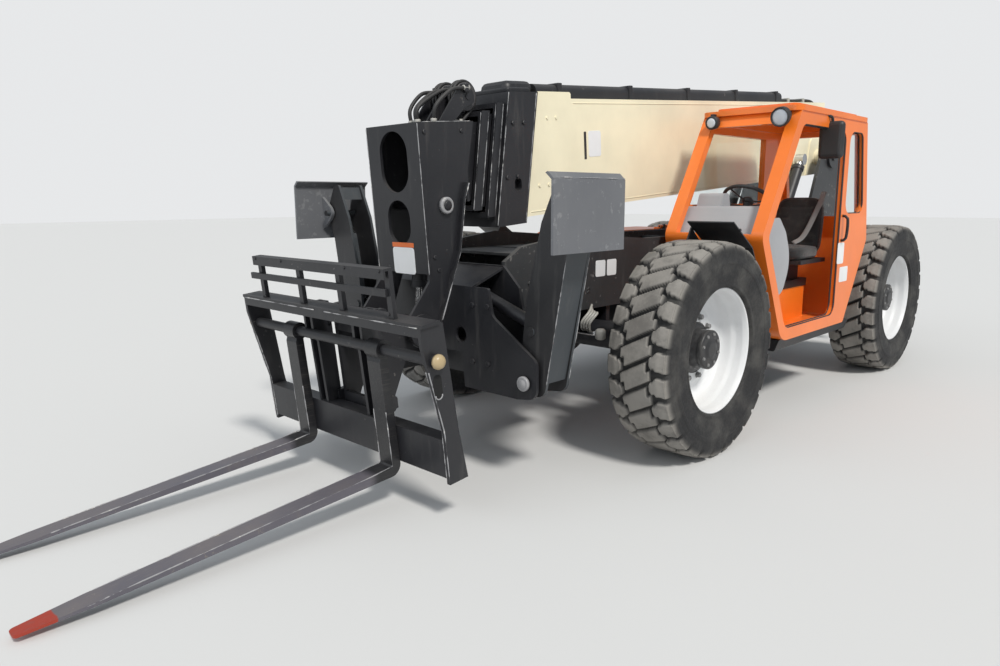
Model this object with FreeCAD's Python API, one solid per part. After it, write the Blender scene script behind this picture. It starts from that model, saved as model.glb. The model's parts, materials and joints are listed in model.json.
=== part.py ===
import FreeCAD, Part
import math
import os

# Telehandler: a four-wheel-steer lift truck with a telescopic boom, fork carriage and front outriggers.
# Millimetres. X forward from the rear axle, Y to the left (cab side), Z up from the ground.
# On export everything moves by EXPORT_SHIFT, so that the origin lies under the middle of the machine.

V = FreeCAD.Vector
os.makedirs("parts", exist_ok=True)

# Running gear
WHEELBASE = 3250
WHEEL_TRACK = 2160
KINGPIN_TRACK = 1560
TYRE_R = 655
TYRE_W = 410
LUGS = 28
LUG_DEPTH = 27
LUG_GAP_SHARE = 0.18
CENTRE_ROW_W = 130
TREAD_W = 370
RIM_R = 381
RIM_W = 330
RIM_WALL = 15
DISC_DEPTH = 200
DISC_T = 14
HUB_R = 132
HUB_SETBACK = 45
SPINDLE_R = 40
STEER_RANGE = 35

# Chassis
FRAME_W = 750
FRAME_PLATE = 30
FRAME_TOP = 1280
FRAME_BOTTOM = 520
FRAME_ARCH = 840
FRAME_REAR = -950
FRAME_FRONT = WHEELBASE + 940
TAIL_REACH = 1100
NOSE_LENGTH = 270
NOSE_TOP = 1080
NOSE_W = 1000
PLATE = 20
NOSE_ARCH_HALF_W = 290
NOSE_ARCH_TOP = 700

# Boom, measured along its own axis from its pivot and square to that axis
BOOM_PIVOT = (-560, 1960)
BOOM_PITCH = 4.5
BOOM_PIN_R = 40
BOOM_RANGE = 75
BOOM_STROKE = 3200
BOOM_WALL = 12
BASE_HALF_W = 220
BASE_BOTTOM = -165
BASE_TOP = 540
BASE_REAR = -180
BASE_FRONT = WHEELBASE + 1040
MOUTH_RAKE = 0.206
SECTION_STEP_W = 27
SECTION_STEP_TOP = 43
SECTION_STEP_BOTTOM = 45
SLIDE_GAP = 0.3

# Boom head and tilt
HEAD_FACE = BASE_FRONT + 954
HEAD_HALF_W = 225
HEAD_TOP = 411
HEAD_PIVOT = (HEAD_FACE + 87, -694)
HEAD_PIN_R = 35
TILT_TOP = (HEAD_FACE - 154, -36)
TILT_ARM = 190
TILT_ARM_ANGLE = 209.5
TILT_BACK = 31
TILT_DOWN = 74

# Carriage, measured from the coupler's pivot, square to the tines
TINE_SLOPE = 6.2
CARRIAGE_W = 1640
SHELF_Z = 193
SHELF_X = 482
SHAFT_X = 420
SHAFT_Z = 28
SHAFT_R = 28
TINE_TOP = -587
TINE_LENGTH = 1690
TINE_W = 105
TINE_T = 50
TINE_TIP_T = 10
TINE_SPACING = 780
SHANK_X = 456
BACKREST_W = 1226
BACKREST_TOP = 452

# Cylinders
LIFT_BASE = (700, 720)
LIFT_EYE = (520, 0)
LIFT_SPACING = 566
LIFT_BARREL_R = 50
LIFT_ROD_R = 36
TILT_BARREL_R = 45
TILT_ROD_R = 25
OUT_BARREL_R = 36
OUT_ROD_R = 20
PIN_GAP = 0.05
CAP_GAP = 25
GLAND_LIP = 6
ROD_SPARE = 60

# Outriggers, seen from the front: Y outward, Z up
OUT_PIVOT = (780, 600)
OUT_PIN_R = 25
OUT_CYL_BASE = (240, 1050)
OUT_EYE_HEIGHT = 270
PAD_PIN = (1030, 1470)
PAD_PIN_R = 18
PAD_LENGTH = 560
PAD_HEIGHT = 370
PAD_T = 14
PAD_OFFSET = 80
LEG_REAR = FRAME_FRONT + 40
LEG_W = 190
LEG_PLATE = 18

# Cab. Its stations along X are drawn for a cab CAB_DRAWN long, and cab_x spreads them over the real length
CAB_REAR = 680
CAB_FRONT = WHEELBASE - 625
CAB_DRAWN = 1945
CAB_INNER = 450
CAB_OUTER = 1180
CAB_WALL = 50
CAB_BOTTOM = 560
CAB_TOP = 2140
ROOF_T = 60
CAB_TUBE = 85
DOOR_REAR = 1285
POST_W = 80
WAIST_Z = 1430
SEAT_Y = 800

# Engine pod on the right
POD_REAR = 920
POD_FRONT = WHEELBASE - 890
POD_INNER = 455
POD_OUTER = 1170
POD_BOTTOM = 600
POD_TOP = 1300
POD_WALL = 25
HOOD_RANGE = 60

HUB_Y = WHEEL_TRACK / 2
NOSE_FRONT = FRAME_FRONT + NOSE_LENGTH
KINGPIN_Y = KINGPIN_TRACK / 2
FRAME_OUT = FRAME_W / 2
FRAME_IN = FRAME_OUT - FRAME_PLATE


# Shapes from outlines. An outline is a list of (a, b) or (a, b, corner radius).
def corner_tangents(before, corner, after):
    p = V(corner[0], corner[1], 0)
    u = (V(before[0], before[1], 0) - p).normalize()
    w = (V(after[0], after[1], 0) - p).normalize()
    radius = corner[2] if len(corner) > 2 else 0
    if radius == 0:
        return p, p, p
    half = u.getAngle(w) / 2
    reach = radius / math.tan(half)
    middle = (u + w).normalize()
    centre = p + middle * (radius / math.sin(half))
    return p + u * reach, centre - middle * radius, p + w * reach


def outline_face(points, place):
    corners = []
    count = len(points)
    for i in range(count):
        corners.append(corner_tangents(points[i - 1], points[i], points[(i + 1) % count]))
    edges = []
    for i in range(count):
        start, bulge, end = corners[i]
        following = corners[(i + 1) % count][0]
        if (end - start).Length > 1e-6:
            edges.append(Part.Arc(place(start), place(bulge), place(end)).toShape())
        if (following - end).Length > 1e-6:
            edges.append(Part.makeLine(place(end), place(following)))
    return Part.Face(Part.Wire(edges))


def across(points, y0, y1):
    """Outline in X and Z, carried along Y."""
    return outline_face(points, lambda p: V(p.x, y0, p.y)).extrude(V(0, y1 - y0, 0))


def along(points, x0, x1):
    """Outline in Y and Z, carried along X."""
    return outline_face(points, lambda p: V(x0, p.x, p.y)).extrude(V(x1 - x0, 0, 0))


def upward(points, z0, z1):
    """Outline in X and Y, carried along Z."""
    return outline_face(points, lambda p: V(p.x, p.y, z0)).extrude(V(0, 0, z1 - z0))


def block(x0, x1, y0, y1, z0, z1):
    return Part.makeBox(x1 - x0, y1 - y0, z1 - z0, V(x0, y0, z0))


def rod(start, end, radius):
    axis = end - start
    return Part.makeCylinder(radius, axis.Length, start, axis)


def pin_y(x, z, radius, y0, y1):
    return rod(V(x, y0, z), V(x, y1, z), radius)


def pin_x(y, z, radius, x0, x1):
    return rod(V(x0, y, z), V(x1, y, z), radius)


def join(*shapes):
    return shapes[0].multiFuse(list(shapes[1:])).removeSplitter()


def cut(shape, *tools):
    for tool in tools:
        shape = shape.cut(tool)
    return shape


def mirrored(shape):
    return shape.mirror(V(0, 0, 0), V(0, 1, 0))


def both(shape):
    return [shape, mirrored(shape)]


def inset(points, distance):
    """The outline with every side moved inward; the outline runs anticlockwise."""
    count = len(points)
    moved = []
    for i in range(count):
        a = V(points[i][0], points[i][1], 0)
        b = V(points[(i + 1) % count][0], points[(i + 1) % count][1], 0)
        way = (b - a).normalize()
        normal = V(-way.y, way.x, 0)
        moved.append((a + normal * distance, way))
    result = []
    for i in range(count):
        p, u = moved[i - 1]
        q, w = moved[i]
        turn = u.x * w.y - u.y * w.x
        step = ((q.x - p.x) * w.y - (q.y - p.y) * w.x) / turn
        corner = p + u * step
        radius = points[i][2] if len(points[i]) > 2 else 0
        result.append((corner.x, corner.y, max(radius - distance, 20) if radius else 0))
    return result


def band(path, thickness):
    """Outline of a strip that follows a path, its thickness on the path's left."""
    ways = []
    for a, b in zip(path[:-1], path[1:]):
        way = V(b[0] - a[0], b[1] - a[1], 0).normalize()
        ways.append(V(-way.y, way.x, 0))
    far = []
    for i, point in enumerate(path):
        before = ways[max(i - 1, 0)]
        after = ways[min(i, len(ways) - 1)]
        mitre = (before + after) * (thickness / (1 + before.dot(after)))
        far.append((point[0] + mitre.x, point[1] + mitre.y))
    return list(path) + far[::-1]


# Local frames
def turned(shape, degrees, x, z):
    """Turned about a line along Y: positive takes the front down."""
    copy = shape.copy()
    copy.rotate(V(x, 0, z), V(0, 1, 0), degrees)
    return copy


def on_boom(shape):
    moved = turned(shape, BOOM_PITCH, 0, 0)
    moved.translate(V(BOOM_PIVOT[0], 0, BOOM_PIVOT[1]))
    return moved


def boom_point(place):
    pitch = math.radians(BOOM_PITCH)
    x = BOOM_PIVOT[0] + place[0] * math.cos(pitch) + place[1] * math.sin(pitch)
    z = BOOM_PIVOT[1] - place[0] * math.sin(pitch) + place[1] * math.cos(pitch)
    return x, z


def on_carriage(shape):
    x, z = boom_point(HEAD_PIVOT)
    moved = turned(shape, TINE_SLOPE, 0, 0)
    moved.translate(V(x, 0, z))
    return moved


def carriage_point(place):
    x, z = boom_point(HEAD_PIVOT)
    slope = math.radians(TINE_SLOPE)
    return (x + place[0] * math.cos(slope) + place[1] * math.sin(slope),
            z - place[0] * math.sin(slope) + place[1] * math.cos(slope))


# Linkages: where a cylinder's ends stand at the low and the high limit of what it moves
def swing(point, pivot, degrees):
    """A point turned about a pivot, anticlockwise in the plane that the point is given in."""
    angle = math.radians(degrees)
    a = point[0] - pivot[0]
    b = point[1] - pivot[1]
    return (pivot[0] + a * math.cos(angle) - b * math.sin(angle),
            pivot[1] + a * math.sin(angle) + b * math.cos(angle))


def linkage(base, eye, pivot, low, high):
    """Length and heading of a cylinder at rest and at both limits, turning anticlockwise as positive."""
    state = {}
    for name, angle in (("rest", 0), ("low", low), ("high", high)):
        x, z = swing(eye, pivot, angle)
        state[name] = (math.hypot(x - base[0], z - base[1]),
                       math.degrees(math.atan2(z - base[1], x - base[0])))
    return state


def cylinder_pair(state, barrel_r, rod_r, eye_w, pin_r, base_bore_r):
    """Barrel and rod lying along X from the base pin, at the rest length."""
    rest = state["rest"][0]
    shortest = min(state[name][0] for name in state)
    eye_r = pin_r + 18
    barrel_end = shortest - eye_r - CAP_GAP
    barrel = join(pin_y(0, 0, barrel_r * 0.9, -eye_w / 2, eye_w / 2),
                  rod(V(barrel_r * 0.5, 0, 0), V(barrel_end, 0, 0), barrel_r),
                  rod(V(barrel_end - 40, 0, 0), V(barrel_end, 0, 0), barrel_r + GLAND_LIP))
    room = rod(V(barrel_r + 12, 0, 0), V(barrel_end + 1, 0, 0), rod_r + PIN_GAP)
    barrel = cut(barrel, room, pin_y(0, 0, base_bore_r, -eye_w, eye_w))
    rod_start = rest - shortest + barrel_r + ROD_SPARE
    shaft = join(rod(V(rod_start, 0, 0), V(rest, 0, 0), rod_r),
                 pin_y(rest, 0, eye_r, -eye_w / 2, eye_w / 2))
    return barrel, shaft


# Wheels
def ring_points(radii, y, phase):
    """Corner points of one tooth wheel: every tooth has two corners at its tip and two in the gap."""
    tip, root = radii
    pitch = 2 * math.pi / LUGS
    points = []
    for i in range(LUGS):
        start = phase + i * pitch
        end = start + pitch * (1 - LUG_GAP_SHARE)
        for angle, radius in ((start, tip), (end, tip), (end, root), (start + pitch, root)):
            points.append(V(radius * math.cos(angle), y, radius * math.sin(angle)))
    return points


def flat_faced(rings):
    """Closed solid through rings of as many corners each; every side face is flat."""
    faces = []
    for lower, upper in zip(rings[:-1], rings[1:]):
        for i in range(len(lower)):
            j = (i + 1) % len(lower)
            faces.append(Part.Face(Part.makePolygon([lower[i], lower[j], upper[j], upper[i], lower[i]])))
    for end in (rings[0], rings[-1]):
        faces.append(Part.Face(Part.makePolygon(end + [end[0]])))
    solid = Part.Solid(Part.Shell(faces))
    if solid.Volume < 0:
        solid.reverse()
    return solid


def facet_ring(radius, y):
    return [V(radius * math.cos(2 * math.pi * i / LUGS), y, radius * math.sin(2 * math.pi * i / LUGS))
            for i in range(LUGS)]


def tyre():
    """Lugged tyre about the wheel's centre, its axle along Y: three rows of lugs, the middle one offset."""
    half = TYRE_W / 2
    shoulder = TREAD_W / 2
    row = CENTRE_ROW_W / 2
    root = TYRE_R - LUG_DEPTH
    pitch = 2 * math.pi / LUGS
    down = -math.pi / 2
    middle = flat_faced([ring_points((TYRE_R, root), y, down) for y in (-row, row)])
    outer = flat_faced([ring_points((TYRE_R, root), row, down + pitch / 2),
                        ring_points((TYRE_R - 26, root - 28), shoulder, down + pitch / 2)])
    wall = flat_faced([facet_ring(root - 30, shoulder), facet_ring(TYRE_R - 95, half)])
    body = middle.multiFuse(both(outer) + both(wall))
    flat = RIM_R + 0.3
    bore_r = flat / math.cos(math.pi / LUGS)
    return body.cut(flat_faced([facet_ring(bore_r, -half - 1), facet_ring(bore_r, half + 1)]))


def rim():
    """Deep-dish rim with its planetary hub, outer side towards +Y."""
    lip = RIM_W / 2
    disc_front = lip - DISC_DEPTH
    disc_back = disc_front - DISC_T
    inner = RIM_R - RIM_WALL
    hub_end = lip - HUB_SETBACK
    bore = SPINDLE_R + PIN_GAP
    profile = [(RIM_R, lip), (RIM_R, -lip), (inner, -lip), (inner, disc_back), (bore, disc_back),
               (bore, disc_front + 95), (0, disc_front + 95), (0, hub_end), (HUB_R, hub_end),
               (HUB_R, disc_front), (inner, disc_front), (inner, lip)]
    face = Part.Face(Part.makePolygon([V(r, y, 0) for r, y in profile + profile[:1]]))
    return face.revolve(V(0, 0, 0), V(0, 1, 0), 360)


def disc_back_y():
    return HUB_Y + RIM_W / 2 - DISC_DEPTH - DISC_T


def knuckle():
    """Left steering knuckle about the axle's middle: kingpin barrel, spindle case, flange and spindle."""
    y = KINGPIN_Y
    back = disc_back_y() - SLIDE_GAP
    body = join(rod(V(0, y, -KNUCKLE_HALF_H), V(0, y, KNUCKLE_HALF_H), KINGPIN_BARREL_R),
                rod(V(0, y, 0), V(0, back, 0), SPINDLE_CASE_R),
                rod(V(0, back - 28, 0), V(0, back, 0), 190),
                rod(V(0, back, 0), V(0, back + 88, 0), SPINDLE_R),
                rod(V(0, y, -YOKE_TOP), V(0, y, YOKE_TOP), KINGPIN_R),
                across([(-120, -40), (-40, -70), (40, -70), (120, -40), (150, 30), (-150, 30)], y + 60, y + 100))
    return body


KNUCKLE_HALF_H = 115
YOKE_TOP = 165
KINGPIN_R = 30
KINGPIN_BARREL_R = 88
SPINDLE_CASE_R = 108


def axle(steer_side):
    """Axle housing about its own middle; steer_side is +1 or -1 for the steering cylinder's side."""
    half = KINGPIN_Y
    tube_end = half - 125
    parts = [Part.makeSphere(190, V(0, 0, 0)),
             rod(V(0, -tube_end, 0), V(0, tube_end, 0), 92),
             rod(V(-150, 0, 0), V(150, 0, 0), 120)]
    arm = [(-80, tube_end - 60), (80, tube_end - 60), (70, half), (40, half + 60, 30), (-40, half + 60, 30),
           (-70, half)]
    gap = KNUCKLE_HALF_H + SLIDE_GAP
    for y_side in (1, -1):
        plan = [(p[0], p[1] * y_side) + tuple(p[2:]) for p in (arm if y_side > 0 else arm[::-1])]
        for z0, z1 in ((gap, YOKE_TOP), (-YOKE_TOP, -gap)):
            parts.append(upward(plan, z0, z1))
        inner = tube_end - 60
        parts.append(block(-80, 80, min(inner * y_side, tube_end * y_side), max(inner * y_side, tube_end * y_side),
                           -YOKE_TOP, YOKE_TOP))
    # Steering cylinder across the housing, on two brackets, its rod out to both sides
    offset = 205 * steer_side
    parts.append(rod(V(offset, -260, 40), V(offset, 260, 40), 42))
    parts.append(rod(V(offset, -570, 40), V(offset, 570, 40), 20))
    for y in (-200, 200):
        parts.append(block(min(offset, 0), max(offset, 0), y - 15, y + 15, 0, 60))
    # Seat up to the chassis
    for x in (-105, 105):
        parts.append(block(x - 20, x + 20, -FRAME_IN, FRAME_IN, 60, FRAME_ARCH - TYRE_R + 60))
    body = join(*parts)
    bore = KINGPIN_R + PIN_GAP
    for y in (-half, half):
        body = cut(body, rod(V(0, y, -YOKE_TOP - 1), V(0, y, YOKE_TOP + 1), bore))
    return body


FENDER_STATIONS = ((107, 786), (130, 765), (146, 730), (160, 724))
FENDER_Y = (860, 1180)
FENDER_T = 8


def fender():
    """Left front fender about the axle's middle: a folded plate behind and above the tyre, and its stay."""
    def place(angle, radius):
        turn = math.radians(angle)
        return radius * math.cos(turn), radius * math.sin(turn)
    inner = [place(angle, radius) for angle, radius in FENDER_STATIONS]
    outer = [place(angle, radius + FENDER_T) for angle, radius in FENDER_STATIONS]
    plate = across(inner + outer[::-1], FENDER_Y[0], FENDER_Y[1])
    foot = KNUCKLE_HALF_H - 20
    top_a = place(112, 775)
    top_b = place(140, 740)
    stay = across([(-70, foot), (40, foot), (40, foot + 60), top_a, top_b, (-130, foot + 90)],
                  FENDER_Y[0] - 10, FENDER_Y[0])
    shoe = block(-60, 30, FENDER_Y[0] - 22, FENDER_Y[0], foot - 45, foot + 10)
    body = join(plate, stay, shoe)
    height = KNUCKLE_HALF_H + SLIDE_GAP
    barrel = rod(V(0, KINGPIN_Y, -height), V(0, KINGPIN_Y, height), KINGPIN_BARREL_R + SLIDE_GAP)
    return cut(body, rod(V(0, KINGPIN_Y, 0), V(0, HUB_Y, 0), SPINDLE_CASE_R), barrel)


# Chassis
def chassis_frame():
    bx, bz = BOOM_PIVOT
    side = [(FRAME_REAR, 640), (-360, 640), (-330, FRAME_ARCH, 40), (330, FRAME_ARCH, 40), (360, FRAME_BOTTOM),
            (WHEELBASE - 360, FRAME_BOTTOM), (WHEELBASE - 330, FRAME_ARCH, 40),
            (WHEELBASE + 330, FRAME_ARCH, 40), (WHEELBASE + 360, FRAME_BOTTOM),
            (FRAME_FRONT, FRAME_BOTTOM), (FRAME_FRONT, 1200), (WHEELBASE + 800, FRAME_TOP, 60),
            (WHEELBASE + 300, FRAME_TOP + 60, 60), (WHEELBASE - 500, FRAME_TOP, 60), (900, FRAME_TOP, 100),
            (bx + 480, 1420, 120), (bx + 190, bz + 120, 150), (bx - 190, bz + 120, 150), (FRAME_REAR, 1220, 60)]
    left = across(side, FRAME_IN, FRAME_OUT)
    parts = both(left)
    boss = pin_y(bx, bz, 110, FRAME_IN - 0.01, FRAME_OUT + 25)
    parts += both(boss)
    parts.append(pin_y(bx, bz, BOOM_PIN_R, -FRAME_OUT - 40, FRAME_OUT + 40))
    middle = WHEELBASE / 2 + 75
    # Cross members: (x0, x1, z0, z1)
    for x0, x1, z0, z1 in ((FRAME_REAR, FRAME_REAR + 25, 640, 1220),
                           (380, WHEELBASE - 380, FRAME_BOTTOM, FRAME_BOTTOM + 15),
                           (380, 400, FRAME_BOTTOM, 1050),
                           (middle, middle + 20, FRAME_BOTTOM, 1240),
                           (WHEELBASE - 550, WHEELBASE - 530, FRAME_BOTTOM, 1240),
                           (WHEELBASE + 380, WHEELBASE + 400, FRAME_BOTTOM, 1240),
                           (WHEELBASE - 530, WHEELBASE + 780, FRAME_TOP - 60, FRAME_TOP - 45),
                           (-260, 380, FRAME_ARCH + 60, FRAME_ARCH + 75),
                           (WHEELBASE - 300, WHEELBASE + 300, FRAME_ARCH + 60, FRAME_ARCH + 75)):
        parts.append(block(x0, x1, -FRAME_IN, FRAME_IN, z0, z1))
    lx, lz = LIFT_BASE
    parts.append(pin_y(lx, lz, LIFT_PIN_R, -FRAME_IN, FRAME_IN))
    lug_end = LIFT_SPACING / 2 - LIFT_BARREL_R - GLAND_LIP - 5
    parts += both(across([(lx - 130, FRAME_BOTTOM + 15), (lx + 130, FRAME_BOTTOM + 15), (lx + 65, lz + 65, 50),
                          (lx - 65, lz + 65, 50)], lug_end - 25, lug_end))
    body = join(*parts)
    # Tow eye hole through both rear corners and the lightening holes in the side plates: (x, z, radius)
    for x, z, radius in ((TIE_HOLE[0], TIE_HOLE[1], TIE_HOLE_R), (WHEELBASE - 1200, 900, 90),
                         (WHEELBASE - 850, 900, 90)):
        body = cut(body, pin_y(x, z, radius, -FRAME_OUT - 1, FRAME_OUT + 1))
    return body


LIFT_PIN_R = 35
TIE_HOLE = (-870, 760)
TIE_HOLE_R = 32


def counterweight():
    plan = [(-TAIL_REACH, -680, 60), (-FRAME_GAP_TAIL, -760, 40), (-FRAME_GAP_TAIL, 760, 40),
            (-TAIL_REACH, 680, 60)]
    body = upward(plan, 640, 1190)
    slope = across([(-TAIL_REACH - 1, 960), (-TAIL_REACH - 1, 1191), (-TAIL_REACH + 90, 1191)], -800, 800)
    return cut(body, slope, block(-TAIL_REACH - 1, -TAIL_REACH + 70, -120, 120, 640 - 1, 760))


FRAME_GAP_TAIL = -FRAME_REAR


def outrigger_beam():
    """Transverse nose box: front and rear plates with ears for the legs, a sloped top and a floor."""
    py, pz = OUT_PIVOT
    half = NOSE_W / 2
    plates = []
    front = [(-half, NOSE_TOP, 15), (half, NOSE_TOP, 15)]
    rear_top = NOSE_TOP + 100
    rear = [(-FRAME_OUT, rear_top, 15), (FRAME_OUT, rear_top, 15), (half, NOSE_TOP - 20, 15)]
    ear = [(half + 30, 930, 60), (py + 75, pz + 120, 60), (py + 75, pz - 80, 60), (py - 60, pz - 100, 40)]
    bottom = pz - 100
    arch = [(NOSE_ARCH_HALF_W + 20, bottom), (NOSE_ARCH_HALF_W, NOSE_ARCH_TOP)]
    for top, foot, x0, x1 in ((front, arch, NOSE_FRONT - PLATE, NOSE_FRONT),
                              (rear, [], FRAME_FRONT, FRAME_FRONT + PLATE)):
        left_part = top[1:] + ear + foot
        points = left_part[::-1]
        other = [(-p[0],) + tuple(p[1:]) for p in left_part]
        plates.append(along(points + other, x0, x1))
    top_plate = across([(FRAME_FRONT, rear_top - 15), (NOSE_FRONT, NOSE_TOP - 15), (NOSE_FRONT, NOSE_TOP),
                        (FRAME_FRONT, rear_top)], -FRAME_OUT, FRAME_OUT)
    tunnel = [(half, bottom)] + arch
    floor = along(band([(-y, z) for y, z in tunnel] + tunnel[::-1], 15), FRAME_FRONT, NOSE_FRONT)
    body = join(*plates, top_plate, floor)
    for side in (1, -1):
        body = join(body, pin_x(py * side, pz, OUT_PIN_R, FRAME_FRONT, NOSE_FRONT + 22))
        body = join(body, pin_x(OUT_CYL_BASE[0] * side, OUT_CYL_BASE[1], OUT_CYL_PIN_R, FRAME_FRONT, NOSE_FRONT))
        body = cut(body, pin_x(NOSE_HOLE[0] * side, NOSE_HOLE[1], NOSE_HOLE_R, NOSE_FRONT - PLATE - 1,
                               NOSE_FRONT + 1))
    return body


OUT_CYL_PIN_R = 18
NOSE_HOLE = (280, 800)
NOSE_HOLE_R = 45


def side_supports():
    """Left step box under the cab, and right tray with its bulkhead under the engine."""
    low = CAB_BOTTOM - STEP_H
    step = along([(FRAME_OUT, low), (CAB_OUTER - 60, low, 20), (CAB_OUTER - 30, CAB_BOTTOM),
                  (FRAME_OUT, CAB_BOTTOM)], STEP_REAR, STEP_FRONT)
    step = cut(step, along([(FRAME_OUT - 1, low - 20), (CAB_OUTER - 80, low - 20), (CAB_OUTER - 60, CAB_BOTTOM - 20),
                            (FRAME_OUT - 1, CAB_BOTTOM - 20)], STEP_REAR + 20, STEP_FRONT - 20))
    for share in (0.34, 0.67):
        x = STEP_REAR + share * (STEP_FRONT - STEP_REAR)
        step = join(step, block(x, x + 15, FRAME_OUT, CAB_OUTER - 70, low + 5, CAB_BOTTOM - 10))
    tray = block(POD_REAR, POD_FRONT, -POD_OUTER, -FRAME_OUT, POD_BOTTOM - 30, POD_BOTTOM)
    wall = block(POD_REAR, POD_FRONT, -POD_INNER, -POD_INNER + 15, POD_BOTTOM - 30, POD_TOP - 40)
    posts = [block(x, x + 60, -POD_INNER, -FRAME_OUT, FRAME_TOP - 300, FRAME_TOP - 100)
             for x in (POD_REAR + 60, POD_FRONT - 120)]
    tray = join(tray, wall, *posts)
    for x in HOOD_HINGES:
        ear = across([(x, POD_TOP - 70), (x + 40, POD_TOP - 70), (x + 40, POD_TOP + 20, 15), (x, POD_TOP + 20, 15)],
                     -POD_INNER, -POD_INNER + 15)
        lug = block(x, x + 40, -POD_INNER - 12, -POD_INNER + 15, POD_TOP - 12, POD_TOP + 12)
        tray = join(tray, ear, lug, pin_x(-POD_INNER, POD_TOP, HINGE_PIN_R, x - 45, x + 85))
    return [step, tray]


STEP_H = 85
STEP_REAR = 870
STEP_FRONT = WHEELBASE - 1050
HOOD_HINGES = (POD_REAR + 260, POD_FRONT - 300)
HINGE_PIN_R = 8


def hood_section(offset):
    top = POD_TOP - offset
    outer = POD_OUTER - offset
    return [(-POD_INNER - 20 - offset, POD_BOTTOM - 1), (-outer, POD_BOTTOM - 1), (-outer, top - 260, 120),
            (-outer + 170, top - 20, 120), (-POD_INNER - 20 - offset, top - 20)]


def engine_hood():
    body = along(hood_section(0), POD_REAR, POD_FRONT)
    room = along(hood_section(POD_WALL), POD_REAR + POD_WALL, POD_FRONT - POD_WALL)
    body = cut(body, room, block(POD_REAR - 1, POD_FRONT + 1, -POD_OUTER - 1, -POD_INNER, POD_BOTTOM - 5,
                                 POD_BOTTOM + 5))
    # Inner side open to the bulkhead
    body = cut(body, block(POD_REAR + POD_WALL, POD_FRONT - POD_WALL, -POD_INNER - 20 - POD_WALL, -POD_INNER,
                           POD_BOTTOM - 1, POD_TOP - 20 - POD_WALL))
    for i in range(LOUVRES):
        x = POD_REAR + 180 + i * 70
        body = cut(body, block(x, x + 35, -POD_OUTER - 1, -POD_OUTER + POD_WALL + 1, 740, 980))
    for x in HOOD_HINGES:
        for x0, x1 in ((x - 40, x - 0.5), (x + 40.5, x + 80)):
            tube = join(pin_x(-POD_INNER, POD_TOP, 16, x0, x1),
                        block(x0, x1, -POD_INNER - 60, -POD_INNER - 5, POD_TOP - 21, POD_TOP - 5))
            body = join(body, tube).cut(pin_x(-POD_INNER, POD_TOP, HINGE_PIN_R + PIN_GAP, x0 - 1, x1 + 1))
    return body


LOUVRES = 7


def engine_block():
    rear, front, top = POD_REAR + 240, POD_FRONT - 280, POD_TOP - 240
    return join(block(rear, front, -1040, -520, POD_BOTTOM, top),
                block(rear + 140, front - 130, -950, -600, top, top + 150))


# Cab
def cab_x(x):
    return CAB_REAR + (x - CAB_REAR) * (CAB_FRONT - CAB_REAR) / CAB_DRAWN


def cab_outline():
    points = [(1080, CAB_BOTTOM, 40), (2238, CAB_BOTTOM, 150), (2625, KNEE_Z, 80), (2130, CAB_TOP),
              (860, CAB_TOP), (680, 1210, 60)]
    return [(cab_x(p[0]),) + tuple(p[1:]) for p in points]


def cab_shell():
    outer = cab_outline()
    inner = inset(outer, CAB_WALL)
    body = across(outer, CAB_INNER, CAB_OUTER)
    body = cut(body, across(inner, CAB_INNER + CAB_WALL, CAB_OUTER - CAB_WALL))
    # Door and quarter window follow the outline, one tube width in, with rounded corners
    sill, lower, knee, header, rear_top, hip = [p[:2] for p in inset(outer, CAB_TUBE)]
    door_x = cab_x(DOOR_REAR)
    post_x = door_x - POST_W
    share = (WAIST_Z - hip[1]) / (rear_top[1] - hip[1])
    waist_x = hip[0] + share * (rear_top[0] - hip[0])
    wall = (CAB_OUTER - CAB_WALL - 1, CAB_OUTER + 1)
    door = across([(door_x, sill[1], 90), lower + (110,), knee + (60,), header + (90,), (door_x, header[1], 90)],
                  *wall)
    quarter = across([(waist_x, WAIST_Z, 80), (post_x, WAIST_Z, 90), (post_x, header[1], 90), rear_top + (60,)],
                     *wall)
    high = 3000
    screen = block(cab_x(2000), high, CAB_INNER + CAB_TUBE, CAB_OUTER - CAB_TUBE, KNEE_Z + 20, CAB_TOP - 80)
    rear = block(0, cab_x(1100), CAB_INNER + CAB_TUBE, CAB_OUTER - CAB_TUBE, 1400, CAB_TOP - 90)
    hatch = block(cab_x(950), cab_x(2040), CAB_INNER + CAB_TUBE, CAB_OUTER - CAB_TUBE, CAB_TOP - 60, high)
    body = cut(body, door, quarter, right_window(0), screen, rear, hatch)
    floor = block(door_x, cab_x(2200), CAB_INNER + CAB_WALL - 1, 930, CAB_BOTTOM + CAB_WALL - 1, FLOOR_Z)
    return join(body, floor)


FLOOR_Z = 850
KNEE_Z = 1300


def right_window(margin):
    outer = inset(cab_outline(), 110 + margin)
    panel = across(outer, CAB_INNER - 1, CAB_INNER + CAB_WALL + 1)
    return panel.common(block(cab_x(1190) + margin, 3000, 0, 3000, 1510 + margin, 2030 - margin))


def cab_side_glass():
    pane = right_window(SLIDE_GAP)
    return pane.common(block(0, 3000, CAB_INNER + 20, CAB_INNER + 26, 0, 3000))


def cab_roof():
    def plate(rear, front, inward, z0, z1):
        y0, y1 = CAB_INNER + inward, CAB_OUTER - inward
        corners = [(rear, y0, 60), (front, y0, 60), (front, y1, 60), (rear, y1, 60)]
        return upward([(cab_x(x), y, r) for x, y, r in corners], z0, z1)
    return join(plate(845, 2160, -8, CAB_TOP, CAB_TOP + ROOF_T * 0.6),
                plate(900, 2080, 60, CAB_TOP + 10, CAB_TOP + ROOF_T))


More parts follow.
